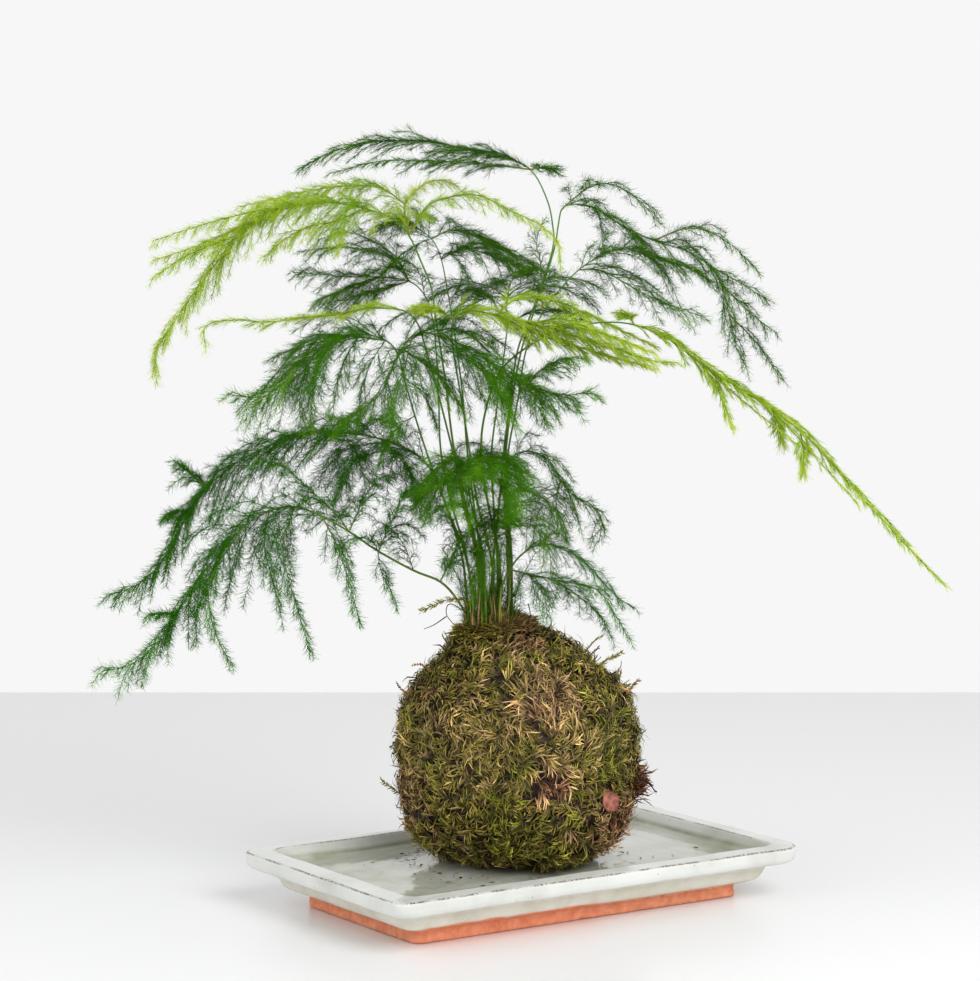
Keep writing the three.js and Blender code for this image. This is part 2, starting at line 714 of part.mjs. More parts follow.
// The least distance between two straight stretches
function gapBetween(a, b, c, d) {
  const first = b.clone().sub(a);
  const second = d.clone().sub(c);
  const offset = a.clone().sub(c);
  const aa = first.dot(first);
  const bb = second.dot(second);
  const ab = first.dot(second);
  const ao = first.dot(offset);
  const bo = second.dot(offset);
  const { clamp } = THREE.MathUtils;
  const spread = aa * bb - ab * ab;
  let s = spread > 1e-9 ? clamp((ab * bo - ao * bb) / spread, 0, 1) : 0;
  const t = clamp((ab * s + bo) / bb, 0, 1);
  s = clamp((ab * t - ao) / aa, 0, 1);
  return a.clone().addScaledVector(first, s).distanceTo(c.clone().addScaledVector(second, t));
}

// The lines of a frond: its stem and first arm as one, then its other arms
function frondLines(frond) {
  const [x, y] = crownSpot(frond.spot);
  const stem = [[x, y, STEM_BOTTOM], [x, y, STEM_STRAIGHT_TOP], ...frond.stem].map(vector);
  const main = lineThrough([...stem, ...frond.arms[0].path.map(vector)]);
  const leafy = lineThrough(stem).getLength();
  const others = frond.arms.slice(1).map((arm) => {
    return { line: lineThrough(arm.path.map(vector)), leafy: FORK_BARE, ...arm };
  });
  return [{ line: main, leafy, ...frond.arms[0] }, ...others].map((arm) => ({ hang: frond.hang, ...arm }));
}

// Nodes of an arm: in turn a side branch to the left, needles alone, a side branch to the right
function armNodes({ line, leafy, reach, hang, roll = 0 }, seed) {
  const draw = seededDraw(seed);
  const length = line.getLength();
  const count = Math.max(2, Math.round((length - leafy) / SIDE_SPACING));
  const tip = THREE.MathUtils.degToRad(roll);
  const nodes = [];
  for (let i = 0; i < count; i++) {
    const share = (i + 0.5) / count;
    const place = leafy + (length - leafy) * share;
    const along = line.getTangent(place / length);
    const across = along.clone().cross(UP).normalize();
    const upward = across.clone().cross(along);
    const level = across.clone().multiplyScalar(Math.cos(tip)).addScaledVector(upward, Math.sin(tip));
    const wanted = reach * (1 - REACH_FALL * share) * (1 + REACH_PLAY * (draw() - 0.5));
    const long = Math.max(SHORTEST_SIDE, wanted);
    const spread = SPREAD_FOOT + (SPREAD_TIP - SPREAD_FOOT) * share + SPREAD_PLAY * (draw() - 0.5);
    const angle = THREE.MathUtils.degToRad(spread);
    const side = level.multiplyScalar(i % 2 ? 1 : -1);
    const way = along.clone().multiplyScalar(Math.cos(angle)).addScaledVector(side, Math.sin(angle));
    way.addScaledVector(upward, LIFT_PLAY * (draw() - 0.5)).normalize();
    nodes.push({ place, side, branch: { way, long, hang } });
    nodes.push({ place: place + (length - leafy) / count / 2 });
  }
  return nodes.filter((node) => node.place < length - NEEDLE_WIDTH);
}

function branchNodes(length) {
  const count = Math.floor((length - ROOT_LENGTH) / WHORL_SPACING);
  return Array.from({ length: count }, (_, i) => ({ place: ROOT_LENGTH + WHORL_SPACING * (i + 0.5) }));
}

function branchLine(root, { way, long, hang }) {
  const middle = root.clone().addScaledVector(way, long / 2);
  const end = root.clone().addScaledVector(way, long).addScaledVector(UP, -hang * long);
  return lineThrough([root, middle, end]);
}

// Turns the way to a ring's first corner so that one of its faces looks to the node's side
function turnedToNode(across, along, node) {
  if (!node.side) return across.clone().applyAxisAngle(along, WHORL_TURN);
  const upward = along.clone().cross(across);
  const angle = Math.atan2(node.side.dot(upward), node.side.dot(across)) - Math.PI / 3;
  const third = (2 * Math.PI) / 3;
  return across.clone().applyAxisAngle(along, angle - third * Math.round(angle / third));
}

// Where the rings of a rod lie: past its root, at its bends, and close before and after each node
function ringPlaces(line, nodes) {
  const bends = [ROOT_LENGTH, ...line.getCurveLengths().slice(0, -1)];
  const free = bends.filter((bend) => nodes.every(({ place }) => Math.abs(place - bend) > NEEDLE_WIDTH));
  const pairs = nodes.flatMap((node) => [
    { place: node.place - NEEDLE_WIDTH / 2, node },
    { place: node.place + NEEDLE_WIDTH / 2 },
  ]);
  return [...free.map((place) => ({ place })), ...pairs].sort((one, other) => one.place - other.place);
}

// Grows a rod from the three corners of its foot. The body's points and faces are added to.
function grow(body, foot, line, thick, nodes, id) {
  const length = line.getLength();
  let last = { corners: foot };
  let across = body.points[foot[0]].clone().sub(line.getPoint(0));
  for (const { place, node } of ringPlaces(line, nodes)) {
    const along = line.getTangent(place / length);
    const centre = line.getPoint(place / length);
    across = across.clone().addScaledVector(along, -across.dot(along)).normalize();
    if (node) across = turnedToNode(across, along, node);
    const radius = thick * (1 - (1 - TIP_SHARE) * (place / length));
    const corners = [0, 1, 2].map((i) => {
      const way = across.clone().applyAxisAngle(along, (2 * Math.PI * i) / 3);
      return body.points.push(centre.clone().addScaledVector(way, radius)) - 1;
    });
    closeSides(body, last, corners, id);
    last = { corners, node, centre, along };
  }
  const tip = body.points.push(line.getPoint(1)) - 1;
  last.corners.forEach((corner, i) => body.faces.push(corner, last.corners[(i + 1) % 3], tip));
}

// Closes the three faces between two rings. At a node half of each face bears a branch or a needle.
function closeSides(body, { corners: low, node, centre, along }, high, id) {
  for (let i = 0; i < 3; i++) {
    const next = (i + 1) % 3;
    const half = [low[i], low[next], high[next]];
    body.faces.push(low[i], high[next], high[i]);
    if (!node) {
      body.faces.push(...half);
      continue;
    }
    const host = { centre, along, id, nodeId: `${id}:${node.place.toFixed(1)}` };
    if (!growBranch(body, half, node, host) && !growNeedle(body, half, host)) body.faces.push(...half);
  }
}

function middleOf(body, corners) {
  const middle = new THREE.Vector3();
  corners.forEach((corner) => middle.addScaledVector(body.points[corner], 1 / 3));
  return middle;
}

function growBranch(body, half, node, { centre, id, nodeId }) {
  if (!node.branch) return false;
  const root = middleOf(body, half);
  const out = root.clone().sub(centre).normalize();
  if (out.dot(node.side) < SIDE_FACING) return false;
  const line = branchLine(root, node.branch);
  if (!isClear(line.curves, SIDE_RADIUS, id, nodeId)) return false;
  const branchId = `${nodeId}/branch`;
  reserve(line.curves, SIDE_RADIUS, branchId, nodeId);
  grow(body, half, line, SIDE_RADIUS, branchNodes(line.getLength()), branchId);
  return true;
}

function growNeedle(body, half, { centre, along, id, nodeId }) {
  const root = middleOf(body, half);
  const out = root.clone().sub(centre);
  out.addScaledVector(along, -out.dot(along)).normalize();
  const way = along.clone().multiplyScalar(Math.cos(NEEDLE_LEAN)).addScaledVector(out, Math.sin(NEEDLE_LEAN));
  const needle = new THREE.LineCurve3(root, root.clone().addScaledVector(way, NEEDLE_LENGTH));
  if (!isClear([needle], NEEDLE_WIDTH / 2, id, nodeId)) return false;
  reserve([needle], NEEDLE_WIDTH / 2, `${nodeId}/needle`, nodeId);
  const tip = body.points.push(needle.v2) - 1;
  half.forEach((corner, i) => body.faces.push(corner, half[(i + 1) % 3], tip));
  return true;
}

// An arm or a stem as a solid of its own, closed at its foot
function armSolid(line, thick, footRadius, nodes, id) {
  const along = line.getTangent(0);
  const across = FIRST_CORNER.clone();
  across.addScaledVector(along, -across.dot(along)).normalize();
  const corners = [0, 1, 2].map((i) => {
    const way = across.clone().applyAxisAngle(along, (2 * Math.PI * i) / 3);
    return line.getPoint(0).addScaledVector(way, footRadius);
  });
  const body = { points: corners, faces: [0, 2, 1] };
  grow(body, [0, 1, 2], line, thick, nodes, id);
  const geometry = new THREE.BufferGeometry().setFromPoints(body.points);
  geometry.setIndex(body.faces);
  return toSolid(geometry);
}

const plans = FRONDS.map((frond, index) => ({ frond, index, lines: frondLines(frond) }));
for (const { index, lines } of plans) {
  lines.forEach(({ line }, i) => reserve(line.curves, i ? ARM_RADIUS : STEM_RADIUS, `${index}/${i}`));
}

function makeFrond({ frond, index, lines }) {
  const solids = lines.map((arm, i) => {
    const nodes = armNodes(arm, FROND_SEEDS * (index + 1) + i);
    const id = `${index}/${i}`;
    if (i === 0) return armSolid(arm.line, STEM_RADIUS, STEM_RADIUS, nodes, id);
    return armSolid(arm.line, ARM_RADIUS, ARM_RADIUS * ROOT_SHARE, nodes, id);
  });
  return toMesh(frond.name, joined(solids), COLOURS[frond.tone], 0.6);
}

const plant = new THREE.Group();
plant.rotation.z = THREE.MathUtils.degToRad(PLANT_TURN);
plant.add(makeMoss(), makeSoil(), ...plans.map(makeFrond));

const kokedama = new THREE.Group();
kokedama.name = "kokedama";
kokedama.add(makeTray(), plant);

export default kokedama;
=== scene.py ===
# Dresses the kokedama: a glazed clay tray, a ball of loose moss, and an asparagus fern of fine needles.
# The model's frame is in metres with +Z up. The plant's own lists and sizes are in millimetres, in a frame
# with the same origin that is turned about Z by PLANT_TURN.
import math

import bpy
import numpy as np
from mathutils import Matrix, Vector


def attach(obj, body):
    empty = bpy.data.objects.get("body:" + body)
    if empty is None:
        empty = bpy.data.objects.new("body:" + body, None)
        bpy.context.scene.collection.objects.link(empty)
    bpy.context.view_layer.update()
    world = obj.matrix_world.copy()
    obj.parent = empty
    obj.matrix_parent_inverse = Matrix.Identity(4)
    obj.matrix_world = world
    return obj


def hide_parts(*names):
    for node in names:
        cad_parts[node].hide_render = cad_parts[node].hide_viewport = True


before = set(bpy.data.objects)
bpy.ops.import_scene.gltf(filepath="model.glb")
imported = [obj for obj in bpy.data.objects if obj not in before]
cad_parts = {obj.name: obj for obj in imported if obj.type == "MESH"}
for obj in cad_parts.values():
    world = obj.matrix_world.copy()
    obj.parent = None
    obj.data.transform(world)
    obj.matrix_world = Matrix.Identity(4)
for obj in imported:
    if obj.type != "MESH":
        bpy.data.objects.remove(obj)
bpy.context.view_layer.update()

MM = 0.001
UP = np.array([0.0, 0.0, 1.0])
PLANT_TURN = math.radians(-33.9)
GAP = 0.3

# The camera, at the photograph's place, and the width of lens that gives the photograph's frame
CAMERA_PLACE = (-0.8832, -1.2845, 0.3455)
CAMERA_DOWN = math.radians(5.18)
CAMERA_LENS = 117.07

# The floor's size in metres, how far behind the tray its far edge lies, and how far under the foot it is
FLOOR_SIZE = (8, 4)
FLOOR_EDGE = 675
FLOOR_DROP = 0.4

# The lamps: place, aim, size in metres, and power. The even light's strength from the sides and from above
LAMPS = {
    "key": ((650, -1000, 900), (0, 0, 120), 0.8, 14),
    "fill": ((-1000, -600, 700), (0, 0, 150), 1.0, 4),
}
SKY_STRENGTH = (0.93, 0.5)

# The tray: its size, and the width of its lip at the ends and along the sides
TRAY_LENGTH, TRAY_WIDTH, TRAY_HEIGHT = 240, 150, 27
TRAY_FLOOR = 20.5
LIP_AT_ENDS, LIP_AT_SIDES = 12.5, 10
# The largest radius of each corner, from the back right one round by the left
CORNER_MOST = (15, 10, 6, 14)
CORNER_STEPS = 10
SIDE_STEPS = (42, 26, 42, 26)
RING_STEP = 1.5
# The outside from the foot up to the rim: inset, corner radius, height
TRAY_SECTION = [
    (24.7, 5, 0), (24.5, 5, 0.4), (24.4, 5, 2.6), (24.7, 5, 3.0), (24.5, 5, 5.3), (24.2, 5, 5.7),
    (23.2, 5.5, 6.1), (20, 6.5, 7.3), (17.0, 8, 8.5), (15.4, 8.6, 9.4), (14.5, 9, 10.4), (13.4, 9.4, 12.4),
    (12.2, 10, 15), (11.2, 10.4, 16.4), (9.5, 11, 17.3), (6, 12, 18), (3, 13.2, 18.4), (1.5, 14, 19.0),
    (0.6, 14.4, 19.9), (0.3, 14.7, 22), (0.1, 15, 24.4), (0.05, 15, 25.3),
]
# The rim's outer edge: inset, corner radius, height, and how worn the glaze is there, from 0 to 1
RIM_SECTION = [(0.4, 15, 26.0, 1), (0.9, 14.8, 26.3, 1), (1.6, 14.5, 26.45, 0.5)]
# From the lip's inner edge into the dish: further inset, corner radius, height, wear
DISH_SECTION = [
    (-1.4, 8.7, TRAY_HEIGHT, 0.5), (-0.4, 8.2, TRAY_HEIGHT - 0.05, 1), (0.5, 7.8, 26.5, 0.5),
    (2.6, 7, 23.4, 0), (3.8, 6.6, 21.7, 0), (5, 6, 20.95, 0), (6.9, 5.4, TRAY_FLOOR + 0.1, 0),
    (12, 4.5, TRAY_FLOOR, 0), (30, 3.5, TRAY_FLOOR, 0),
]
# The lip's height at its middle, and the last ring's further inset at the ends and along the sides
LIP_MIDDLE = 26.75
DISH_MIDDLE = (52, 48)
# The glaze: its thickness, its lower edge's height, and how much higher it starts along a bare stretch
GLAZE_THICK, GLAZE_EDGE, BARE_RISE = 0.45, 5.9, 3.3
# The seam at the dish's floor where glaze gathers: its height, and how far up and down it reaches
SEAM_HEIGHT, SEAM_REACH = 21.6, 2.2
# How uneven the clay is sideways and upwards, and how deep the foot's chips are
SIDE_PLAY, RISE_PLAY, CHIP_DEPTH = 0.22, 0.16, 0.9

# The ball and its crown
BALL_CENTRE = np.array([-3, 0, 76.4])
BALL_RADIUS = 59
BALL_SAG = 57
BALL_FULLNESS = 3
SHOULDER_X, SHOULDER_RISE, SHOULDER_SPAN = -20, 8.5, 24
LUMP = 0.7
LUMP_WAVES = np.array([[6.1, 0, 2.1], [-3.2, 7.3, 0], [0, 4.4, 5.7]])
TUFT = 0.8
TUFT_WAVES = np.array([[15, 9, 4], [-8, 16, 7], [12, -13, 6], [5, 8, 19]])
SOIL_RADIUS = 49.6
CROWN_X, CROWN_RADIUS, CROWN_TOP = -17, 14.2, 136.5
# The stems' rings in the crown: radius, number of stems, angle of the first in degrees
RINGS = [(0, 1, 0), (5.2, 5, 18), (11, 11, 0)]

# How the side branches stand on an arm, as in the part's source
STEM_BOTTOM, STEM_STRAIGHT_TOP = 122, 140
FORK_BARE = 3
SIDE_SPACING = 28
REACH_FALL, REACH_PLAY = 0.8, 0.4
SPREAD_FOOT, SPREAD_TIP, SPREAD_PLAY = 52, 30, 14
LIFT_PLAY = 0.6
SHORTEST_SIDE = 5
FROND_SEEDS = 1000

# The fronds. As in the part's source: the spot is the ring and the place where the stem stands, hang is how
# far the side branches droop, the first arm goes on from the stem, and an arm is its side branches' reach,
# its roll in degrees and its points. Only here: fill is the side branches for each one of the part's, always
# an odd number, the least share of the part's spread that they take, and the width of the needles. Lean is
# how far the needles lean from their branch, in radians, and the sprays are finer arms in the gaps.
PLAIN_FILL = (9, 0.7, 0.26)
PLAIN_LEAN = (0.5, 1.25)
SPRAY_FILL, SPRAY_SWEEP, SPRAY_SEEDS = 7, 0.5, 50
FRONDS = [
    {"name": "frond_crest", "tone": "dark", "spot": (0, 0), "hang": 0.18, "fill": (9, 0.2, 0.29),
     "lean": (0.3, 0.9),
     "stem": [(-15, 3, 170), (-12, 4, 199), (-10, 5, 221), (-7, 4, 246), (-3, 5, 273), (6, 7, 297),
              (14, 8, 322), (14, 8, 334), (11, 8, 347), (3, 9, 361)],
     "arms": [
         (48, 8, [(-12, 14, 368), (-31, 18, 372), (-51, 22, 375), (-71, 26, 375), (-89, 30, 372),
             (-101, 33, 367), (-110, 35, 362)]),
         (19, 0, [(3, 9, 361), (-14, 2, 363), (-30, -6, 364), (-66, -17, 365), (-93, -24, 359)]),
         (16, 0, [(3, 9, 361), (10, 18, 362), (16, 27, 361)])]},
    {"name": "frond_dark_right_upper", "tone": "dark", "spot": (2, 1), "hang": 0.34, "fill": (7, 0.85, 0.26),
     "stem": [(-8, 8, 169), (-9, 9, 199), (-9, 10, 220), (-6, 11, 246), (-1, 13, 273), (7, 15, 297),
              (15, 16, 322), (17, 17, 334), (20, 19, 343)],
     "arms": [
         (48, -12, [(33, 24, 343), (48, 30, 334), (65, 34, 326), (81, 37, 321), (92, 38, 314), (99, 38, 304),
             (103, 37, 289), (106, 36, 274), (111, 35, 264)]),
         (26, 0, [(20, 19, 343), (32, 30, 352), (43, 40, 354), (57, 50, 347), (70, 56, 333)]),
         (24, 0, [(65, 34, 326), (80, 28, 332), (93, 23, 330), (105, 19, 322), (116, 16, 310)]),
         (19, 0, [(92, 38, 314), (105, 44, 307), (115, 50, 301), (125, 55, 295)]),
         (18, 0, [(99, 38, 304), (110, 32, 293), (118, 27, 286), (126, 22, 280)]),
         (16, 0, [(103, 37, 289), (116, 41, 276), (124, 43, 265), (130, 45, 256)])]},
    {"name": "frond_dark_right", "tone": "dark", "spot": (2, 0), "hang": 0.3, "fill": (11, 0.6, 0.28),
     "stem": [(-6, -1, 170), (-8, -1, 200), (-8, -1, 221), (-3, -1, 249), (1, 0, 273), (9, 3, 291),
              (18, 6, 303), (27, 10, 312)],
     "arms": [
         (38, -15, [(38, 13, 319), (51, 17, 322), (65, 22, 318), (80, 26, 313), (94, 29, 306)]),
         (35, -15, [(27, 10, 312), (37, 1, 312), (49, -6, 306), (62, -11, 299), (86, -18, 290)]),
         (18, 0, [(9, 3, 291), (8, -3, 316), (6, -6, 323), (7, -9, 331), (10, -11, 337)])],
     "sprays": [
         (20, 0, [(1, 0, 273), (9, -3, 281), (19, -6, 285), (32, -9, 283)]),
         (16, 0, [(9, 3, 291), (17, -1, 293), (26, -5, 290), (34, -8, 283)])]},
    {"name": "frond_back_right", "tone": "dark", "spot": (2, 2), "hang": 0.3, "fill": (7, 0.8, 0.25),
     "stem": [(-13, 13, 168), (-15, 17, 198), (-16, 20, 220), (-13, 24, 245), (-10, 28, 267), (-8, 32, 284),
              (-8, 37, 297)],
     "arms": [
         (42, -10, [(1, 47, 304), (15, 58, 307), (28, 68, 306), (40, 77, 301)]),
         (38, 10, [(-8, 37, 297), (-17, 45, 303), (-29, 53, 304), (-50, 66, 296)]),
         (38, 0, [(-8, 37, 297), (-6, 55, 305), (-1, 72, 309), (3, 90, 308)]),
         (32, 0, [(-8, 37, 297), (-16, 36, 298), (-28, 38, 293), (-40, 42, 285)]),
         (32, 0, [(-8, 37, 297), (12, 42, 303), (24, 48, 300), (35, 54, 293)])],
     "sprays": [
         (20, 0, [(-8, 32, 284), (2, 30, 290), (14, 28, 292), (28, 26, 287)]),
         (15, 0, [(-10, 28, 267), (-18, 22, 276), (-24, 16, 281), (-32, 10, 281)]),
         (12, 0, [(-16, 20, 220), (-22, 14, 226), (-30, 10, 226), (-38, 6, 219)])]},
    {"name": "frond_back", "tone": "dark", "spot": (2, 3), "hang": 0.3, "fill": (13, 0.6, 0.28),
     "stem": [(-21, 14, 168), (-25, 17, 198), (-28, 20, 223), (-30, 23, 247), (-33, 26, 272), (-37, 30, 297),
              (-41, 34, 317), (-46, 38, 327)],
     "arms": [
         (38, 0, [(-55, 44, 333), (-63, 51, 336), (-71, 58, 334)]),
         (38, -8, [(-46, 38, 327), (-36, 43, 331), (-24, 47, 328), (-10, 51, 321), (7, 55, 312)]),
         (32, -8, [(-41, 34, 317), (-29, 28, 322), (-14, 22, 318), (0, 17, 313)])],
     "sprays": [
         (16, 0, [(-46, 38, 327), (-53, 30, 324), (-62, 24, 318), (-70, 20, 309)]),
         (16, 0, [(-37, 30, 297), (-30, 24, 302), (-20, 20, 300), (-9, 16, 293)]),
         (14, 0, [(-41, 34, 317), (-38, 26, 320), (-32, 20, 316), (-27, 16, 307)]),
         (14, 0, [(-25, 17, 198), (-32, 12, 206), (-40, 8, 208), (-49, 6, 202)])]},
    {"name": "frond_back_left", "tone": "dark", "spot": (2, 4), "hang": 0.36, "fill": (9, 0.8, 0.25),
     "stem": [(-28, 11, 169), (-36, 13, 198), (-41, 15, 223), (-42, 17, 248), (-43, 19, 268), (-45, 22, 287),
              (-49, 25, 299), (-57, 29, 306)],
     "arms": [
         (45, 10, [(-72, 34, 308), (-87, 40, 308), (-102, 45, 309), (-116, 50, 310)]),
         (32, 0, [(-57, 29, 306), (-64, 37, 318), (-76, 45, 326), (-90, 53, 330), (-104, 60, 326)]),
         (29, 0, [(-72, 34, 308), (-80, 28, 304), (-91, 22, 301), (-102, 17, 297)]),
         (32, 0, [(-57, 29, 306), (-68, 24, 319), (-81, 18, 322), (-95, 12, 323), (-110, 8, 321)]),
         (26, 0, [(-57, 29, 306), (-73, 22, 301), (-85, 16, 298), (-95, 12, 292)])],
     "sprays": [
         (15, 0, [(-49, 25, 299), (-51, 18, 309), (-55, 12, 315), (-62, 8, 318)]),
         (15, 0, [(-45, 22, 287), (-53, 18, 291), (-62, 15, 289), (-72, 12, 282)]),
         (14, 0, [(-57, 29, 306), (-60, 22, 312), (-68, 16, 313), (-78, 12, 309)])]},
    {"name": "frond_light_left", "tone": "light", "spot": (1, 2), "hang": 0.5, "fill": (13, 0.35, 0.29),
     "lean": (0.35, 1.0),
     "stem": [(-23, 2, 170), (-30, 1, 199), (-35, 0, 229), (-39, -2, 262), (-43, -4, 288), (-45, -5, 303),
              (-50, -6, 316), (-56, -7, 329), (-64, -9, 337)],
     "arms": [
         (32, 12, [(-77, -14, 342), (-94, -20, 345), (-110, -26, 344), (-125, -31, 339), (-136, -34, 330),
             (-147, -37, 316), (-157, -39, 303), (-167, -41, 288), (-175, -42, 275), (-176, -42, 265)]),
         (16, 0, [(-94, -20, 345), (-114, -32, 343), (-136, -42, 339), (-157, -50, 333), (-175, -56, 327)]),
         (16, 0, [(-110, -26, 344), (-132, -20, 335), (-156, -14, 325), (-179, -9, 317)]),
         (14, 0, [(-136, -34, 330), (-148, -46, 325), (-161, -56, 319), (-174, -64, 310)]),
         (16, 0, [(-56, -7, 329), (-47, -10, 343), (-34, -14, 348), (-21, -18, 348), (-7, -21, 341),
             (6, -24, 335), (15, -26, 327), (17, -27, 318)]),
         (19, 0, [(-56, -7, 329), (-58, 2, 344), (-50, 8, 353), (-41, 12, 356), (-33, 15, 353)]),
         (22, 0, [(-58, 2, 344), (-70, 9, 352), (-85, 15, 353), (-104, 20, 351), (-140, 27, 343)]),
         (24, 0, [(-77, -14, 342), (-91, -24, 336), (-104, -30, 333), (-115, -35, 327), (-124, -39, 319)])]},
    {"name": "frond_light_low_left", "tone": "light", "spot": (1, 3), "hang": 0.14, "fill": (11, 0.5, 0.29),
     "lean": (0.3, 0.8),
     "stem": [(-22, -6, 171), (-29, -7, 200), (-36, -8, 229), (-43, -10, 257), (-48, -11, 275),
              (-52, -12, 287), (-59, -14, 293)],
     "arms": [
         (19, 0, [(-75, -18, 294), (-91, -22, 291), (-106, -26, 290), (-122, -30, 288), (-138, -34, 289),
             (-149, -37, 288), (-153, -38, 284), (-152, -39, 277)])]},
    {"name": "frond_light_low_right", "tone": "light", "spot": (1, 4), "hang": 0.2, "fill": (23, 0.3, 0.31),
     "lean": (0.15, 0.6),
     "stem": [(-16, -6, 171), (-23, -9, 200), (-27, -12, 227), (-30, -15, 247), (-33, -17, 265),
              (-35, -19, 279), (-34, -21, 289)],
     "arms": [
         (22, 0, [(-26, -23, 293), (-13, -26, 291), (4, -30, 287), (22, -33, 282), (42, -36, 276),
             (60, -38, 270), (71, -39, 269)]),
         (16, 0, [(-13, -26, 291), (-5, -19, 298), (10, -14, 299), (26, -10, 293), (64, -4, 275)]),
         (16, 0, [(-34, -21, 289), (-41, -24, 293), (-51, -28, 295)]),
         (18, 0, [(-13, -26, 291), (2, -24, 284), (22, -24, 277), (42, -25, 271), (58, -26, 267)]),
         (16, 0, [(4, -30, 287), (17, -40, 290), (32, -45, 285), (46, -49, 280), (61, -52, 274)])],
     "sprays": [
         (15, 0, [(4, -30, 287), (20, -34, 287), (38, -38, 282), (57, -41, 275)]),
         (12, 0, [(22, -33, 282), (36, -30, 277), (50, -27, 271), (62, -24, 265)])]},
    {"name": "frond_long_right", "tone": "light", "spot": (1, 0), "hang": 0.18, "fill": (19, 0.2, 0.34),
     "lean": (0.12, 0.5),
     "stem": [(-12, -2, 170), (-18, -3, 200), (-21, -5, 226), (-18, -7, 247), (-11, -8, 264), (3, -9, 276),
              (20, -11, 284), (37, -12, 287), (53, -14, 286)],
     "arms": [
         (16, 0, [(70, -16, 279), (86, -18, 267), (103, -20, 256), (119, -23, 246), (133, -25, 235),
             (147, -28, 221), (159, -30, 207), (174, -33, 191), (189, -35, 175), (196, -36, 168),
             (201, -37, 163)]),
         (8, 0, [(86, -18, 267), (92, -24, 257), (96, -28, 248), (99, -31, 239)]),
         (8, 0, [(119, -23, 246), (123, -16, 238), (125, -12, 229)]),
         (8, 0, [(133, -25, 235), (134, -30, 226), (134, -33, 216)]),
         (11, 0, [(53, -14, 286), (51, -5, 290), (47, 2, 291)])],
     "sprays": [
         (7, 0, [(70, -16, 279), (85, -14, 270), (101, -15, 259), (117, -18, 249)]),
         (7, 0, [(86, -18, 267), (100, -21, 254), (116, -25, 241), (131, -28, 229)]),
         (6, 0, [(103, -20, 256), (118, -19, 248), (134, -21, 237), (149, -25, 222)]),
         (5, 0, [(119, -23, 246), (132, -28, 232), (146, -32, 216), (160, -33, 201)]),
         (4, 0, [(147, -28, 221), (160, -27, 208), (173, -29, 194), (184, -32, 182)])]},
    {"name": "frond_mid", "tone": "mid", "spot": (2, 7), "hang": 0.42, "fill": (11, 0.45, 0.31),
     "lean": (0.4, 1.1),
     "stem": [(-28, -11, 171), (-38, -13, 198), (-47, -15, 223), (-53, -17, 242), (-58, -19, 260),
              (-61, -21, 272), (-67, -24, 279)],
     "arms": [
         (54, 12, [(-79, -28, 282), (-93, -33, 278), (-104, -38, 270), (-114, -42, 260), (-125, -46, 253),
             (-138, -50, 254)]),
         (32, 0, [(-67, -24, 279), (-94, -14, 281), (-110, -6, 275), (-123, 0, 269)]),
         (51, -12, [(-61, -21, 272), (-54, -22, 281), (-43, -25, 282), (-28, -30, 276), (-13, -35, 267),
             (0, -40, 258), (16, -44, 254), (31, -48, 255)]),
         (26, 0, [(-61, -21, 272), (-69, -30, 254), (-80, -37, 245), (-89, -43, 237)]),
         (22, 0, [(-104, -38, 270), (-106, -22, 261), (-109, -13, 249), (-109, -7, 237)]),
         (22, 0, [(-54, -22, 281), (-57, -40, 268), (-61, -52, 253), (-62, -60, 240)]),
         (26, 0, [(-13, -35, 267), (-2, -22, 256), (6, -12, 247), (11, -4, 238)]),
         (22, 0, [(0, -40, 258), (7, -54, 266), (17, -66, 272), (27, -76, 273)]),
         (32, 0, [(-61, -21, 272), (-59, -30, 275), (-48, -36, 268), (-38, -42, 259), (-30, -46, 248)]),
         (32, 0, [(-28, -30, 276), (-33, -44, 274), (-21, -52, 266), (-11, -58, 254), (-4, -62, 242)])],
     "sprays": [
         (14, 0, [(-79, -28, 282), (-86, -34, 270), (-90, -38, 256), (-92, -41, 241)]),
         (14, 0, [(-67, -24, 279), (-74, -20, 268), (-79, -17, 254), (-81, -15, 240)]),
         (12, 0, [(-93, -33, 278), (-99, -30, 266), (-102, -28, 252), (-103, -26, 238)]),
         (12, 0, [(-53, -17, 242), (-60, -22, 238), (-66, -26, 230), (-70, -30, 219)]),
         (12, 0, [(-58, -19, 260), (-52, -22, 256), (-46, -25, 248), (-42, -27, 238)])]},
    {"name": "frond_low_left_upper", "tone": "dark", "spot": (2, 5), "hang": 0.5, "fill": (13, 0.25, 0.34),
     "stem": [(-30, 5, 169), (-36, 8, 189), (-41, 11, 203), (-47, 14, 215)],
     "arms": [
         (51, 30, [(-57, 17, 223), (-71, 21, 228), (-89, 25, 231), (-106, 29, 230), (-121, 33, 226),
             (-135, 37, 220), (-149, 41, 211), (-160, 44, 201), (-169, 47, 189), (-176, 49, 175),
             (-184, 51, 162), (-195, 53, 152), (-209, 55, 146)]),
         (16, 0, [(-160, 44, 201), (-168, 52, 208), (-177, 60, 214)]),
         (13, 0, [(-169, 47, 189), (-174, 38, 190), (-179, 32, 188)]),
         (26, 0, [(-89, 25, 231), (-86, 46, 218), (-90, 62, 205), (-96, 74, 193)]),
         (26, 0, [(-71, 21, 228), (-61, 36, 216), (-55, 46, 203), (-52, 54, 187)])]},
    {"name": "frond_low_left", "tone": "dark", "spot": (2, 6), "hang": 0.5, "fill": (11, 0.25, 0.33),
     "stem": [(-33, -4, 151), (-41, -7, 160), (-54, -11, 166), (-71, -16, 176), (-85, -20, 186),
              (-98, -24, 194)],
     "arms": [
         (42, 30, [(-111, -28, 199), (-123, -32, 197), (-135, -36, 190), (-146, -40, 178), (-157, -44, 164),
             (-167, -47, 148), (-177, -50, 134), (-189, -52, 125), (-201, -54, 123)]),
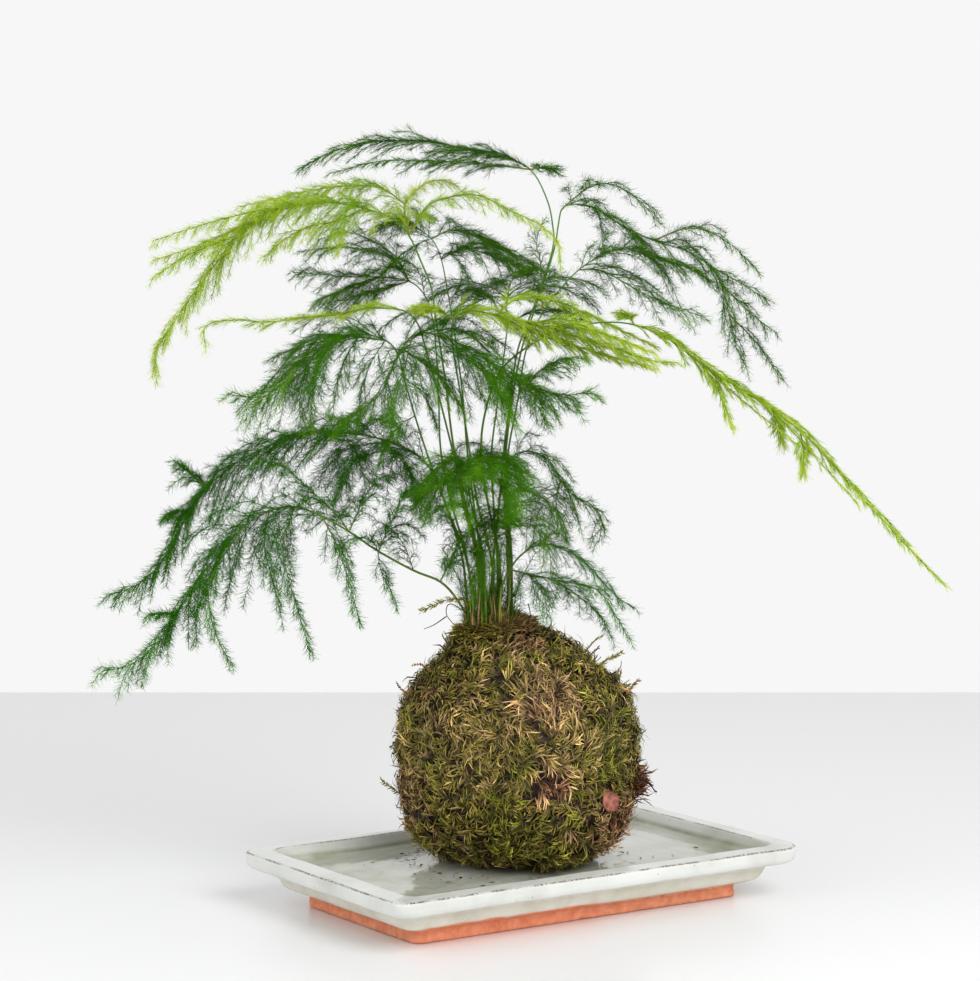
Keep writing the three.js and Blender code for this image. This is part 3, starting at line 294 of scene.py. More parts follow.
         (26, 0, [(-85, -20, 186), (-92, -11, 194), (-105, -3, 205), (-120, 4, 217), (-134, 10, 217)]),
         (14, 0, [(-135, -36, 190), (-148, -50, 170), (-150, -58, 156), (-146, -63, 141), (-139, -66, 128)]),
         (14, 0, [(-123, -32, 197), (-126, -22, 180), (-123, -15, 163), (-119, -9, 143)]),
         (14, 0, [(-111, -28, 199), (-116, -38, 181), (-112, -46, 163), (-102, -54, 132)]),
         (14, 0, [(-98, -24, 194), (-90, -32, 180), (-84, -38, 163), (-79, -43, 145)]),
         (26, 0, [(-71, -16, 176), (-64, -28, 192), (-58, -38, 205), (-50, -46, 211)]),
         (22, 0, [(-85, -20, 186), (-79, -4, 199), (-73, 8, 208), (-63, 18, 211)]),
         (10, 0, [(-167, -47, 148), (-171, -56, 151), (-177, -64, 151)]),
         (24, 0, [(-41, -7, 160), (-33, -18, 179), (-35, -26, 191), (-41, -34, 200)])],
     "sprays": [
         (14, 0, [(-54, -11, 166), (-58, -4, 176), (-64, 2, 184), (-73, 6, 189)]),
         (14, 0, [(-71, -16, 176), (-74, -24, 182), (-82, -30, 184), (-91, -34, 178)]),
         (8, 0, [(-71, -16, 176), (-70, -20, 168), (-66, -23, 160), (-62, -25, 152)])]},
    {"name": "frond_front", "tone": "mid", "spot": (2, 8), "hang": 0.36, "fill": (11, 0.35, 0.3),
     "stem": [(-20, -15, 172), (-24, -19, 192), (-27, -24, 207), (-27, -31, 217)],
     "arms": [
         (32, 0, [(-25, -42, 223), (-21, -56, 224), (-19, -70, 222), (-17, -82, 217)]),
         (29, 0, [(-27, -31, 217), (-33, -38, 222), (-40, -48, 220), (-46, -56, 213)]),
         (29, 0, [(-27, -31, 217), (-18, -38, 224), (-7, -48, 223), (3, -57, 215)]),
         (22, 0, [(-25, -42, 223), (-30, -58, 220), (-33, -70, 212), (-34, -78, 203)]),
         (22, 0, [(-21, -56, 224), (-12, -66, 221), (-6, -74, 213), (-4, -80, 203)]),
         (28, 0, [(-27, -31, 217), (-27, -46, 216), (-26, -57, 208), (-25, -62, 197)]),
         (28, 0, [(-27, -31, 217), (-37, -40, 215), (-43, -46, 207), (-46, -50, 197)]),
         (28, 0, [(-27, -31, 217), (-16, -42, 216), (-9, -50, 208), (-5, -54, 197)])],
     "sprays": [
         (14, 0, [(-24, -19, 192), (-30, -24, 198), (-38, -30, 200), (-46, -36, 194)])]},
    {"name": "frond_low_right_upper", "tone": "dark", "spot": (2, 10), "hang": 0.42,
     "stem": [(-7, -8, 166), (-8, -10, 186), (-9, -11, 203), (-8, -12, 216)],
     "arms": [
         (32, -20, [(-4, -12, 223), (4, -11, 224), (12, -9, 219), (18, -6, 210), (24, -3, 202), (32, 0, 198),
             (38, 2, 191), (38, 4, 184), (37, 5, 178)]),
         (26, 0, [(-8, -10, 186), (-4, -22, 199), (1, -33, 201), (6, -42, 195), (10, -49, 184)]),
         (26, 0, [(-8, -10, 186), (-13, -20, 197), (-18, -30, 194), (-20, -38, 185)]),
         (22, 0, [(18, -6, 210), (16, 10, 199), (18, 22, 187), (21, 31, 176)]),
         (26, 0, [(-8, -10, 186), (-13, -24, 192), (-18, -34, 184), (-20, -40, 170)]),
         (26, 0, [(-8, -10, 186), (2, -24, 190), (10, -34, 182), (14, -40, 168)]),
         (24, 0, [(-8, -10, 186), (-16, -24, 180), (-22, -32, 170), (-25, -36, 156)]),
         (24, 0, [(-8, -10, 186), (-20, -26, 190), (-31, -36, 182), (-37, -40, 168)]),
         (24, 0, [(-9, -11, 203), (2, -20, 206), (14, -26, 198), (20, -30, 184)])]},
    {"name": "frond_low_right", "tone": "mid", "spot": (2, 9), "hang": 0.42,
     "stem": [(-11, -13, 157), (-7, -16, 167), (-2, -19, 174)],
     "arms": [
         (26, 0, [(5, -21, 179), (12, -23, 180), (21, -25, 177), (29, -27, 172), (43, -31, 157),
             (53, -33, 150)]),
         (22, 0, [(-7, -16, 167), (2, -26, 166), (15, -33, 164), (27, -38, 162), (37, -42, 158),
             (50, -47, 137)]),
         (19, 0, [(15, -33, 164), (23, -22, 157), (31, -14, 150), (38, -8, 142), (43, -3, 132)]),
         (13, 0, [(2, -26, 166), (9, -36, 157), (11, -42, 147)])]},
]

# The fern's own fineness: needles per tuft and their lengths, the share of its width that a needle keeps at
# its tip, how much its turn, place and tint vary, and how much shorter it is near a branch's end
TUFT_SPACING, TUFT_NEEDLES = 1.5, 5
NEEDLE_SHORT, NEEDLE_LONG = 2.8, 6.4
NEEDLE_THICK = 0.6
HAIR_TIP = 0.4
NEEDLE_TURN, NEEDLE_SLIP, NEEDLE_TINT_PLAY = 0.75, 0.7, 0.09
TIP_SHARE, TIP_SPAN = 0.6, 6
TWIG_SPACING, TWIG_SHARE, TWIG_MOST = 6.5, 0.36, 12
STEM_THICK, ARM_THICK, SIDE_THICK, TWIG_THICK = 0.68, 0.42, 0.22, 0.3
LINE_STEP, BRANCH_STEP = 3, 4.5
SHOOTS = 32
SHOOT_THICK, SHOOT_HEIGHTS = (0.36, 0.14), (14, 44)

# Where the moss has dried, turned brown or stayed fresh: a point, a radius, a tint and a strength
PATCHES = [
    ((13, -48, 107), 19, 0.31, 0.85), ((11, -57, 70), 11, 0.1, 0.8), ((46, -18, 39), 22, 0.2, 0.8),
    ((-56, -15, 55), 19, 0.24, 0.7), ((1, -22, 129), 12, 0.22, 0.7), ((-4, -52, 36), 24, 0.74, 0.6),
    ((18, -48, 35), 6, 1.0, 0.95), ((41, -38, 74), 15, 0.7, 0.6), ((-22, -50, 95), 22, 0.46, 0.6),
    ((-30, -48, 60), 14, 0.56, 0.5), ((32, -46, 88), 8, 0.4, 0.7), ((-40, 40, 90), 24, 0.28, 0.7),
    ((10, 56, 60), 22, 0.66, 0.6), ((48, 30, 84), 16, 0.24, 0.7), ((-10, 50, 112), 15, 0.5, 0.6),
    ((-1, -9, 138), 11, 0.28, 0.75), ((40, -30, 46), 11, 0.16, 0.7),
]
# How quickly the moss's streams turn over the ball
STREAM_WAVES = np.array([[5, 2, 4], [-3, 6, 2], [2, -4, 6]])
# A blade of moss is a thin bent strip: two points at its root, two at its middle and its tip
BLADE_FACES = np.array([[0, 1, 3], [0, 3, 2], [2, 3, 4]])
# How bright each blade is from root to tip: painted shade at its roots, deep among the other blades, and a
# painted highlight at its tip
BLADE_SHADE = np.array([0.08, 0.08, 0.66, 0.66, 1.38])
# The layers of moss: tufts, seed, lift, shortest and longest blade, brightness, shift of tint, blades a tuft
MOSS_LAYERS = {
    # The under layer's low brightness is painted shade beneath the other layers
    "moss_under": (1100, 31, 0.1, (4.5, 9), 0.25, -0.12, 9),
    "moss_main": (2100, 32, 0.3, (4, 10), 0.94, 0.0, 12),
    "moss_tufts": (650, 33, 0.55, (5, 10), 1.2, 0.0, 11),
}
# The mat's and the soil's grids: points round the ball, and steps from its top to its bottom
MAT_GRID, SOIL_GRID = (110, 66), (90, 60)
MAT_SUNK, MAT_PLAY = 2.6, 0.6
# The seeds of the random draws
MAT_SEED, SOIL_SEED, CROWN_SEED, SHEATH_SEED = 5, 6, 44, 45
SPRIG_SEED, CRUMB_SEED, SHOOT_SEED, CLUMP_SEED = 46, 47, 48, 49
# How deep the blades' roots are sunk, how far the blades keep above the tray's floor, and how many small
# forms there are
ROOT_DEPTH = 1.7
BLADE_CLEARANCE = 0.35
CROWN_BLADES, CLUMP_BLADES, CRUMBS, STUBS = 3000, 320, 170, 26
# Where the crumbs may lie on the tray's floor, from its middle
CRUMB_SPAN = (98, 55)
# The dry sheaths' heights, thicknesses and tints
SHEATH_HEIGHTS, SHEATH_THICK, SHEATH_TINTS = (9, 24), (0.35, 0.75), (0.36, 0.42, 0.48, 0.85)

# Loose sprigs and twigs that stand out of the ball: their points, their tint, and the length of their leaves
SPRIGS = [
    ([(-20, -4, 140), (-28, -6, 150), (-38, -8, 151), (-50, -10, 146)], 0.92, 3.4),
    ([(-58, -12, 54), (-64, -13, 58), (-69, -14, 62)], 0.78, 3.0),
    ([(34, -18, 117), (40, -20, 123), (47, -22, 127)], 0.85, 3.2),
    ([(18, -26, 124), (18, -28, 131), (16, -29, 138)], 0.7, 2.8),
    ([(29, -22, 121), (33, -23, 127), (36, -24, 130)], 0.1, 1.6),
    ([(50, -10, 104), (54, -11, 110), (56, -12, 112)], 0.3, 2.6),
    ([(56, -14, 64), (61, -15, 62), (64, -16, 58)], 0.14, 3.2),
    ([(-44, -20, 117), (-50, -21, 121), (-54, -22, 121)], 0.3, 1.4),
    ([(-53, -14, 104), (-59, -15, 107), (-62, -16, 111)], 0.25, 2.2),
    ([(30, 36, 118), (36, 40, 124), (40, 44, 126)], 0.8, 3.0),
    ([(-46, 36, 90), (-54, 40, 94), (-58, 43, 99)], 0.7, 2.8),
]
# Dark wiry tendrils, points only
TENDRILS = [
    [(-26, -5, 143), (-36, -7, 149), (-38, -8, 144), (-33, -9, 138), (-30, -9, 137)],
    [(-38, -8, 143), (-44, -9, 139), (-49, -10, 137)],
    [(2, -14, 150), (3, -15, 145), (2, -15, 141)],
    [(40, -26, 116), (46, -28, 120), (47, -28, 124)],
]
# The brown clump on the right of the ball, and the dry leaf on it: half its length, half its width, thickness
CLUMP_SPOT = (53, -6, 60)
LEAF_SPOT = (35, -38, 61)
LEAF_LENGTH, LEAF_WIDTH, LEAF_THICK, LEAF_GRID = 6.6, 4.3, 0.35, (13, 9)

# Colours as seen on a screen, 0 to 255. The lower half of a frond's stops is for its stem.
STEM_STOPS = [(0.0, (122, 128, 62)), (0.12, (98, 124, 56)), (0.3, (80, 120, 54)), (0.49, (74, 122, 54))]
NEEDLE_STOPS = (0.5, 0.66, 0.82, 1.0)
# The dark look is partly painted shade: darker green for the fronds at the back of the plant and in shade.
# The light look is the new fronds' own yellow-green.
FROND_LOOKS = {
    "green": ("frond_dark", [(17, 52, 2), (30, 81, 4), (50, 112, 9), (90, 152, 28)]),
    "dark": ("frond_dark", [(20, 50, 2), (36, 77, 4), (58, 106, 8), (98, 144, 26)]),
    "mid": ("frond_mid", [(24, 60, 2), (42, 90, 5), (68, 124, 11), (110, 162, 32)]),
    "light": ("frond_light", [(92, 138, 18), (132, 168, 32), (168, 194, 54), (206, 216, 100)]),
}
GREENER_FRONDS = ("frond_low_left_upper", "frond_low_left", "frond_low_right")
MOSS_STOPS = [
    (0.0, (40, 24, 14)), (0.12, (98, 60, 36)), (0.24, (158, 110, 74)), (0.34, (204, 164, 120)),
    (0.45, (172, 150, 84)), (0.57, (128, 114, 42)), (0.7, (118, 120, 34)), (0.85, (160, 158, 52)),
    (1.0, (216, 206, 96)),
]
LEAF_STOPS = [(0.35, (112, 58, 44)), (0.5, (146, 84, 66)), (0.7, (180, 118, 96))]
# The tray's colours, each spread by a noise: its size in metres, its detail, and its stops
TRAY_TONES = {
    "glaze": (0.03, 4, [(0.3, (192, 195, 186)), (0.5, (212, 214, 209)), (0.75, (222, 223, 220))]),
    "cream": (0.014, 4, [(0.3, (204, 199, 180)), (0.6, (220, 217, 204))]),
    # The grey-green of glaze gathered in the dish, darkened as painted shade of the plant above
    "celadon_and_plant_shade": (0.018, 4, [(0.3, (140, 142, 116)), (0.55, (168, 170, 150)), (0.8, (196, 198, 186))]),
    "clay": (0.0035, 8, [(0.3, (214, 130, 94)), (0.5, (228, 144, 107)), (0.72, (238, 160, 124))]),
    "worn": (0.002, 2, [(0.3, (74, 62, 52)), (0.7, (126, 106, 88))]),
    "pit": (0.002, 2, [(0.0, (84, 60, 46)), (1.0, (110, 84, 66))]),
}
FLOOR_COLOUR = (240, 240, 241)
# How rough the bare clay, the glaze, the dry leaf and the floor are
CLAY_ROUGH, GLAZE_ROUGH, LEAF_ROUGH, FLOOR_ROUGH = 0.9, 0.07, 0.55, 0.32


# Meshes
def to_row(points):
    """Turns points of the plant's frame, in millimetres, to the model's frame in metres."""
    x, y, z = np.asarray(points, dtype=float).T
    cos, sin = math.cos(PLANT_TURN), math.sin(PLANT_TURN)
    return np.stack([x * cos - y * sin, x * sin + y * cos, z], axis=1) * MM


def triangle_object(name, points, triangles, material, smooth=False):
    """Makes an object from points in the model's frame and triangles."""
    corners = np.asarray(triangles, dtype=np.int32)
    mesh = bpy.data.meshes.new(name)
    mesh.vertices.add(len(points))
    mesh.vertices.foreach_set("co", np.asarray(points, dtype=np.float32).ravel())
    mesh.loops.add(corners.size)
    mesh.loops.foreach_set("vertex_index", corners.ravel())
    mesh.polygons.add(len(corners))
    mesh.polygons.foreach_set("loop_start", 3 * np.arange(len(corners), dtype=np.int32))
    mesh.polygons.foreach_set("use_smooth", np.full(len(corners), smooth))
    mesh.update(calc_edges=True)
    mesh.validate()
    mesh.materials.append(material)
    piece = bpy.data.objects.new(name, mesh)
    bpy.context.scene.collection.objects.link(piece)
    return piece


def give_values(piece, **layers):
    """Stores one number per point under each name, for the material to read."""
    for name, values in layers.items():
        layer = piece.data.attributes.new(name, "FLOAT", "POINT")
        layer.data.foreach_set("value", np.asarray(values, dtype=np.float32))


def dress(piece, slot, *nodes):
    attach(piece, "root")
    if nodes:
        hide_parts(*nodes)


def band_faces(rings, around):
    """Triangles between a tube's rings, which have the same number of points each."""
    here = np.arange(around)
    after = (here + 1) % around
    faces = []
    for low in around * np.arange(rings - 1):
        faces.append(np.stack([low + here, low + after, low + around + after], axis=1))
        faces.append(np.stack([low + here, low + around + after, low + around + here], axis=1))
    return np.vstack(faces)


def fan_faces(middle, ring):
    """Triangles from a middle point to each side of a closed ring."""
    return np.stack([np.full(len(ring), middle), ring, np.roll(ring, -1)], axis=1)


class Heap:
    """Collects the points, triangles and tint of many small forms for one object."""

    def __init__(self):
        self.points = []
        self.triangles = []
        self.tints = []
        self.count = 0

    def add(self, points, triangles, tint):
        self.points.append(points)
        self.triangles.append(np.asarray(triangles) + self.count)
        self.tints.append(np.broadcast_to(tint, len(points)))
        self.count += len(points)

    def to_object(self, name, material, smooth=False):
        points = to_row(np.concatenate(self.points))
        piece = triangle_object(name, points, np.concatenate(self.triangles), material, smooth)
        give_values(piece, tint=np.concatenate(self.tints))
        return piece


# Lines, rods and needles
def unit(vectors):
    return vectors / np.maximum(np.linalg.norm(vectors, axis=-1, keepdims=True), 1e-9)


def smooth_line(points, step):
    """Points of a smooth curve through the given points, about a step apart."""
    points = np.asarray(points, dtype=float)
    rail = np.vstack([2 * points[0] - points[1], points, 2 * points[-1] - points[-2]])
    pieces = []
    for i in range(1, len(rail) - 2):
        a, b, c, d = rail[i - 1:i + 3]
        count = max(1, int(round(np.linalg.norm(c - b) / step)))
        t = (np.arange(count) / count)[:, None]
        curve = 2 * b + (c - a) * t + (2 * a - 5 * b + 4 * c - d) * t**2 + (3 * b - a - 3 * c + d) * t**3
        pieces.append(curve / 2)
    return np.vstack(pieces + [points[-1:]])


def lengths_along(line):
    return np.concatenate([[0], np.cumsum(np.linalg.norm(np.diff(line, axis=0), axis=1))])


def at_lengths(line, places):
    along = lengths_along(line)
    return np.stack([np.interp(places, along, line[:, k]) for k in range(3)], axis=1)


def ways_at(line, places):
    """The line's direction at each of the places along it."""
    reach = 0.6
    return unit(at_lengths(line, places + reach) - at_lengths(line, places - reach))


def rod(heap, line, radii, sides, tint):
    """Adds a closed round rod along a line to the heap."""
    along = unit(np.gradient(line, axis=0))
    helper = np.array([0.31, 0.95, 0.05])
    across = unit(helper - (along @ helper)[:, None] * along)
    other = np.cross(along, across)
    angles = 2 * np.pi * np.arange(sides) / sides
    ring = across[:, None] * np.cos(angles)[None, :, None] + other[:, None] * np.sin(angles)[None, :, None]
    points = (line[:, None] + ring * np.asarray(radii)[:, None, None]).reshape(-1, 3)
    start = np.zeros(sides - 2, int)
    here = np.arange(sides)
    foot = np.stack([start, here[2:], here[1:-1]], axis=1)
    end = (len(line) - 1) * sides + np.stack([start, here[1:-1], here[2:]], axis=1)
    faces = np.vstack([band_faces(len(line), sides), foot, end])
    heap.add(points, faces, np.repeat(np.broadcast_to(tint, len(line)), sides))


def square_to(ways):
    """Two directions square to each way and to each other."""
    across = unit(np.cross(ways, [0.27, 0.16, 0.95]))
    return across, np.cross(ways, across)


def spikes(heap, roots, ways, lengths, width, tint):
    """Adds thin closed three-sided twigs to the heap."""
    across, other = square_to(ways)
    half = width / 2
    corners = [roots + across * half]
    corners += [roots - across * half / 2 + other * half * side for side in (0.87, -0.87)]
    points = np.stack(corners + [roots + ways * lengths[:, None]], axis=1).reshape(-1, 3)
    base = 4 * np.arange(len(roots))[:, None]
    sides = [[0, 2, 1], [0, 1, 3], [1, 2, 3], [2, 0, 3]]
    heap.add(points, np.concatenate([base + side for side in sides]), tint)


def hairs(heap, roots, ways, lengths, width, tints, rng):
    """Adds flat hair-thin needles to the heap, each turned its own way about its length."""
    across, other = square_to(ways)
    roll = rng.uniform(0, np.pi, len(roots))[:, None]
    flank = (across * np.cos(roll) + other * np.sin(roll)) * width / 2
    tips = roots + ways * lengths[:, None]
    corners = [roots - flank, roots + flank, tips + flank * HAIR_TIP, tips - flank * HAIR_TIP]
    base = 4 * np.arange(len(roots))[:, None]
    triangles = np.concatenate([base + [0, 1, 2], base + [0, 2, 3]])
    heap.add(np.stack(corners, axis=1).reshape(-1, 3), triangles, np.repeat(tints, 4))


# The fern
def seeded_draw(seed):
    """The part's own random draws, so that its side branches stand here too."""
    state = seed

    def draw():
        nonlocal state
        state = (state * 1664525 + 1013904223) % 4294967296
        return state / 4294967296

    return draw


def crown_spot(ring, step):
    radius, stems, start = RINGS[ring]
    angle = math.radians(start + 360 * step / stems)
    return CROWN_X + radius * math.cos(angle), radius * math.sin(angle)


def frond_lines(frond):
    """Each arm's line, the length of it that is bare, and its side branches' reach and roll."""
    x, y = crown_spot(*frond["spot"])
    stem = [(x, y, STEM_BOTTOM), (x, y, STEM_STRAIGHT_TOP)] + frond["stem"]
    lines = []
    for i, (reach, roll, path) in enumerate(frond["arms"]):
        line = smooth_line(path if i else stem + path, LINE_STEP)
        bare = FORK_BARE if i else lengths_along(smooth_line(stem, LINE_STEP))[-1]
        lines.append((line, bare, reach, roll))
    return lines


class Tufts:
    """Collects the places of needle tufts, with the branch's way and the frond's plane at each."""

    def __init__(self, wide, leans=PLAIN_LEAN):
        self.rows = []
        self.wide = wide
        self.leans = leans

    def along(self, line, start, normal, size, tint):
        length = lengths_along(line)[-1]
        places = np.arange(start, length, TUFT_SPACING)
        if len(places) == 0:
            return
        ways = ways_at(line, places)
        nearing = np.clip((length - places) / TIP_SPAN, 0, 1)
        sizes = size * (TIP_SHARE + (1 - TIP_SHARE) * nearing)
        normals = np.broadcast_to(normal, ways.shape)
        self.rows.append((at_lengths(line, places), ways, normals, sizes, np.full(len(places), tint)))

    def to_needles(self, heap, rng):
        spots, ways, normals, sizes, tints = (np.concatenate(column) for column in zip(*self.rows))
        count = len(spots) * TUFT_NEEDLES
        which = np.repeat(np.arange(len(spots)), TUFT_NEEDLES)
        across = unit(np.cross(normals, ways))[which]
        upward = unit(np.cross(ways, np.cross(normals, ways)))[which]
        hand = np.where(np.arange(count) % 2 == 0, 1.0, -1.0)
        turn = rng.normal(0, NEEDLE_TURN, count)
        lean = rng.uniform(*self.leans, count)[:, None]
        out = across * (hand * np.cos(turn))[:, None] + upward * np.sin(turn)[:, None]
        way = unit(ways[which] * np.cos(lean) + out * np.sin(lean))
        long = sizes[which] * rng.uniform(NEEDLE_SHORT, NEEDLE_LONG, count)
        slip = rng.uniform(-NEEDLE_SLIP, NEEDLE_SLIP, count)[:, None]
        tint = tints[which] + rng.normal(0, NEEDLE_TINT_PLAY, count)
        hairs(heap, spots[which] + ways[which] * slip, way, long, self.wide * NEEDLE_THICK, tint, rng)


def twigs(heap, tufts, line, normal, tint, sweep, rng):
    """Puts short straight twigs to both sides of a side branch, wider apart as the sweep nears 1."""
    length = lengths_along(line)[-1]
    places = np.arange(TWIG_SPACING * 0.7, length - 1.5, TWIG_SPACING) + rng.uniform(-1, 1)
    count = len(places)
    if count == 0:
        return
    spots = at_lengths(line, places)
    ahead = ways_at(line, places)
    hand = np.where(np.arange(count) % 2, 1.0, -1.0)[:, None]
    across = unit(np.cross(normal, ahead)) * hand
    long = np.minimum(TWIG_MOST, TWIG_SHARE * (length - places) + 2) * rng.uniform(0.7, 1.25, count)
    angle = (0.8 + 0.45 * sweep) * rng.uniform(0.3, 0.65, count)[:, None]
    rise = normal * rng.normal(0, 0.2, (count, 1)) - UP * 0.1
    way = unit(ahead * np.cos(angle) + across * np.sin(angle) + rise)
    spikes(heap, spots, way, long, TWIG_THICK, tint)
    for spot, heading, reach in zip(spots, way, long):
        tufts.along(np.array([spot, spot + heading * reach]), 0.8, normal, 0.85, tint)


def leafy_arm(heap, tufts, line, bare, reach, roll, hang, fine, sweep, seed, rng):
    """Puts side branches, twigs and tufts along the leafy part of an arm. Of each group of side branches the
    middle one is the part's own, and the others fill the gaps between them."""
    draw = seeded_draw(seed)
    roll = math.radians(roll)
    leafy = lengths_along(line)[-1] - bare
    count = max(2, round(leafy / SIDE_SPACING))
    for j in range(fine * count):
        share = (j + 0.5) / (fine * count)
        spot = at_lengths(line, [bare + leafy * share])[0]
        along = unit(at_lengths(line, [bare + leafy * share + 1])[0] - spot)
        across = unit(np.cross(along, UP))
        upward = np.cross(across, along)
        level = across * math.cos(roll) + upward * math.sin(roll)
        major = j % fine == fine // 2
        jitter = [draw(), draw(), draw()] if major else rng.uniform(0, 1, 3)
        turn = j // fine if major else j
        wanted = reach * (1 - REACH_FALL * share) * (1 + REACH_PLAY * (jitter[0] - 0.5))
        long = max(SHORTEST_SIDE, wanted) * (1 if major else rng.uniform(0.6, 1))
        spread = SPREAD_FOOT + (SPREAD_TIP - SPREAD_FOOT) * share + SPREAD_PLAY * (jitter[1] - 0.5)
        spread = math.radians(spread) * (1 if major else rng.uniform(sweep, 1))
        side = level * (1 if turn % 2 else -1)
        lift = upward * LIFT_PLAY * (jitter[2] - 0.5)
        way = unit(along * math.cos(spread) + side * math.sin(spread) + lift)
        normal = unit(np.cross(along, level))
        end = spot + way * long - UP * hang * long
        branch = smooth_line([spot, spot + way * long / 2, end], BRANCH_STEP)
        tint = 0.45 + 0.3 * share + rng.normal(0, 0.12)
        rod(heap, branch, np.linspace(SIDE_THICK, SIDE_THICK * 0.45, len(branch)), 3, tint - 0.1)
        tufts.along(branch, 1.2, normal, 1, tint)
        twigs(heap, tufts, branch, normal, tint, sweep, rng)
        if j == 0:
            first_normal = normal
    tufts.along(line[lengths_along(line) > bare - 4], 0, first_normal, 1.05, 0.6)


def make_frond(frond, index, material, slot):
    rng = np.random.default_rng(FROND_SEEDS + index)
    seed = FROND_SEEDS * (index + 1)
    hang = frond["hang"]
    fine, sweep, wide = frond.get("fill", PLAIN_FILL)
    heap, tufts = Heap(), Tufts(wide, frond.get("lean", PLAIN_LEAN))
    for i, (line, bare, reach, roll) in enumerate(frond_lines(frond)):
        along = lengths_along(line) / lengths_along(line)[-1]
        thick = ARM_THICK if i else STEM_THICK
        rod(heap, line, thick * (1 - 0.75 * along), 5 if i else 6, -1 + along)
        leafy_arm(heap, tufts, line, bare, reach, roll, hang, fine, sweep, seed + i, rng)
    for k, (reach, roll, path) in enumerate(frond.get("sprays", []), SPRAY_SEEDS):
        line = smooth_line(path, LINE_STEP)
        rod(heap, line, np.linspace(SIDE_THICK, SIDE_THICK / 2, len(line)), 4, 0.1)
        leafy_arm(heap, tufts, line, FORK_BARE, reach, roll, hang, SPRAY_FILL, SPRAY_SWEEP, seed + k, rng)
    tufts.to_needles(heap, rng)
    dress(heap.to_object(frond["name"] + "_needles", material), slot, frond["name"])


def make_shoots(material, slot):
    """Young shoots that stand round the feet of the stems."""
    rng = np.random.default_rng(SHOOT_SEED)
    heap, tufts = Heap(), Tufts(0.28)
    for k in range(SHOOTS):
        turn = 2 * np.pi * k / SHOOTS + rng.uniform(-0.3, 0.3)
        out = np.array([math.cos(turn), math.sin(turn), 0])
        foot = np.array([CROWN_X, 0, CROWN_TOP - 2]) + out * rng.uniform(3, CROWN_RADIUS - 2)
        tall = rng.uniform(*SHOOT_HEIGHTS)
        lean = out * tall * rng.uniform(0.05, 0.4)
        line = smooth_line([foot, foot + lean * 0.3 + UP * tall * 0.55, foot + lean + UP * tall], 2)
        normal = np.cross(out, UP)
        rod(heap, line, np.linspace(*SHOOT_THICK, len(line)), 5, -0.3)
        tufts.along(line, tall * 0.25, normal, 0.9, 0.45)
        twigs(heap, tufts, line, normal, 0.4, 0.5, rng)
    tufts.to_needles(heap, rng)
    dress(heap.to_object("young_shoots", material), slot)


def make_fern():
    materials = {}
    for tone, (slot, colours) in FROND_LOOKS.items():
        stops = STEM_STOPS + list(zip(NEEDLE_STOPS, colours))
        look = tinted_material("fern_" + tone, stops, roughness=0.7, shine=0.04, low=-1.0, blotch=0.05)
        materials[tone] = (look, slot)
    for index, frond in enumerate(FRONDS):
        tone = "green" if frond["name"] in GREENER_FRONDS else frond["tone"]
        make_frond(frond, index, *materials[tone])
    make_shoots(*materials["mid"])


# The ball
def swell(ways, waves):
    return np.sin(ways @ waves.T).sum(axis=1)


def from_crown(spots):
    return np.hypot(spots[:, 0] - CROWN_X, spots[:, 1])


def ball_surface(ways, sunk=0.0):
    """Points of the ball's lumpy surface in the given directions from its middle."""
    upper = ways[:, 2] > 0
    flat = np.maximum(np.hypot(ways[:, 0], ways[:, 1]), 0.001)
    below = np.maximum(-ways[:, 2], 0)
    full = (flat / BALL_RADIUS) ** BALL_FULLNESS + (below / BALL_SAG) ** BALL_FULLNESS
    reach = np.where(upper, BALL_RADIUS, full ** (-1 / BALL_FULLNESS))
    reach = reach + LUMP * swell(ways, LUMP_WAVES) + TUFT * swell(ways, TUFT_WAVES) - sunk
    spots = ways * reach[:, None] + BALL_CENTRE
    off = np.hypot(spots[:, 0] - SHOULDER_X, spots[:, 1]) / SHOULDER_SPAN
    spots[:, 2] += np.where(upper, SHOULDER_RISE * np.exp(-off * off), 0)
    dip = np.clip((CROWN_RADIUS - from_crown(spots)) / 4, 0, 1)
    spots[:, 2] -= np.where(upper, dip * np.maximum(spots[:, 2] - CROWN_TOP + 1.5, 0), 0)
    spots[:, 2] = np.maximum(spots[:, 2], TRAY_FLOOR + GAP)
    return spots


def even_ways(count, rng):
    """Directions spread evenly over a sphere, with a little play."""
    k = np.arange(count) + 0.5
    height = 1 - 2 * k / count
    angle = k * math.pi * (3 - math.sqrt(5))
    flat = np.sqrt(1 - height**2)
    ways = np.stack([flat * np.cos(angle), flat * np.sin(angle), height], axis=1)
    return unit(ways + rng.normal(0, 0.02, ways.shape))


def round_grid(around, up):
    """Directions and faces of a closed sphere: rings from the top down, and a point at each pole."""
    angles = 2 * np.pi * np.arange(around) / around
    tilts = np.pi * np.arange(1, up) / up
    grid = np.stack([
        np.outer(np.sin(tilts), np.cos(angles)),
        np.outer(np.sin(tilts), np.sin(angles)),
        np.outer(np.cos(tilts), np.ones(around)),
    ], axis=2).reshape(-1, 3)
    ways = np.vstack([grid, [[0, 0, 1], [0, 0, -1]]])
    top = fan_faces(len(grid), np.arange(around))
    bottom = fan_faces(len(grid) + 1, len(grid) - 1 - np.arange(around))
    return ways, np.vstack([top, band_faces(up - 1, around)[:, ::-1], bottom])


def make_moss_mat(material):
    """The dense mat that the loose moss grows from: dark brown, and darkened further as painted shade in the
    gaps between the blades.
    """
    ways, faces = round_grid(*MAT_GRID)
    rng = np.random.default_rng(MAT_SEED)
    spots = ball_surface(ways, MAT_SUNK) + ways * rng.uniform(-MAT_PLAY, MAT_PLAY, len(ways))[:, None]
    spots[:, 2] = np.maximum(spots[:, 2], TRAY_FLOOR + GAP)
    piece = triangle_object("moss_mat", to_row(spots), faces, material, True)
    # The mat's low shade values are painted shade, deep under the blades
    give_values(piece, tint=np.full(len(ways), 0.06), shade=rng.uniform(0.1, 0.45, len(ways)))
    dress(piece, "moss", "moss_wrap")


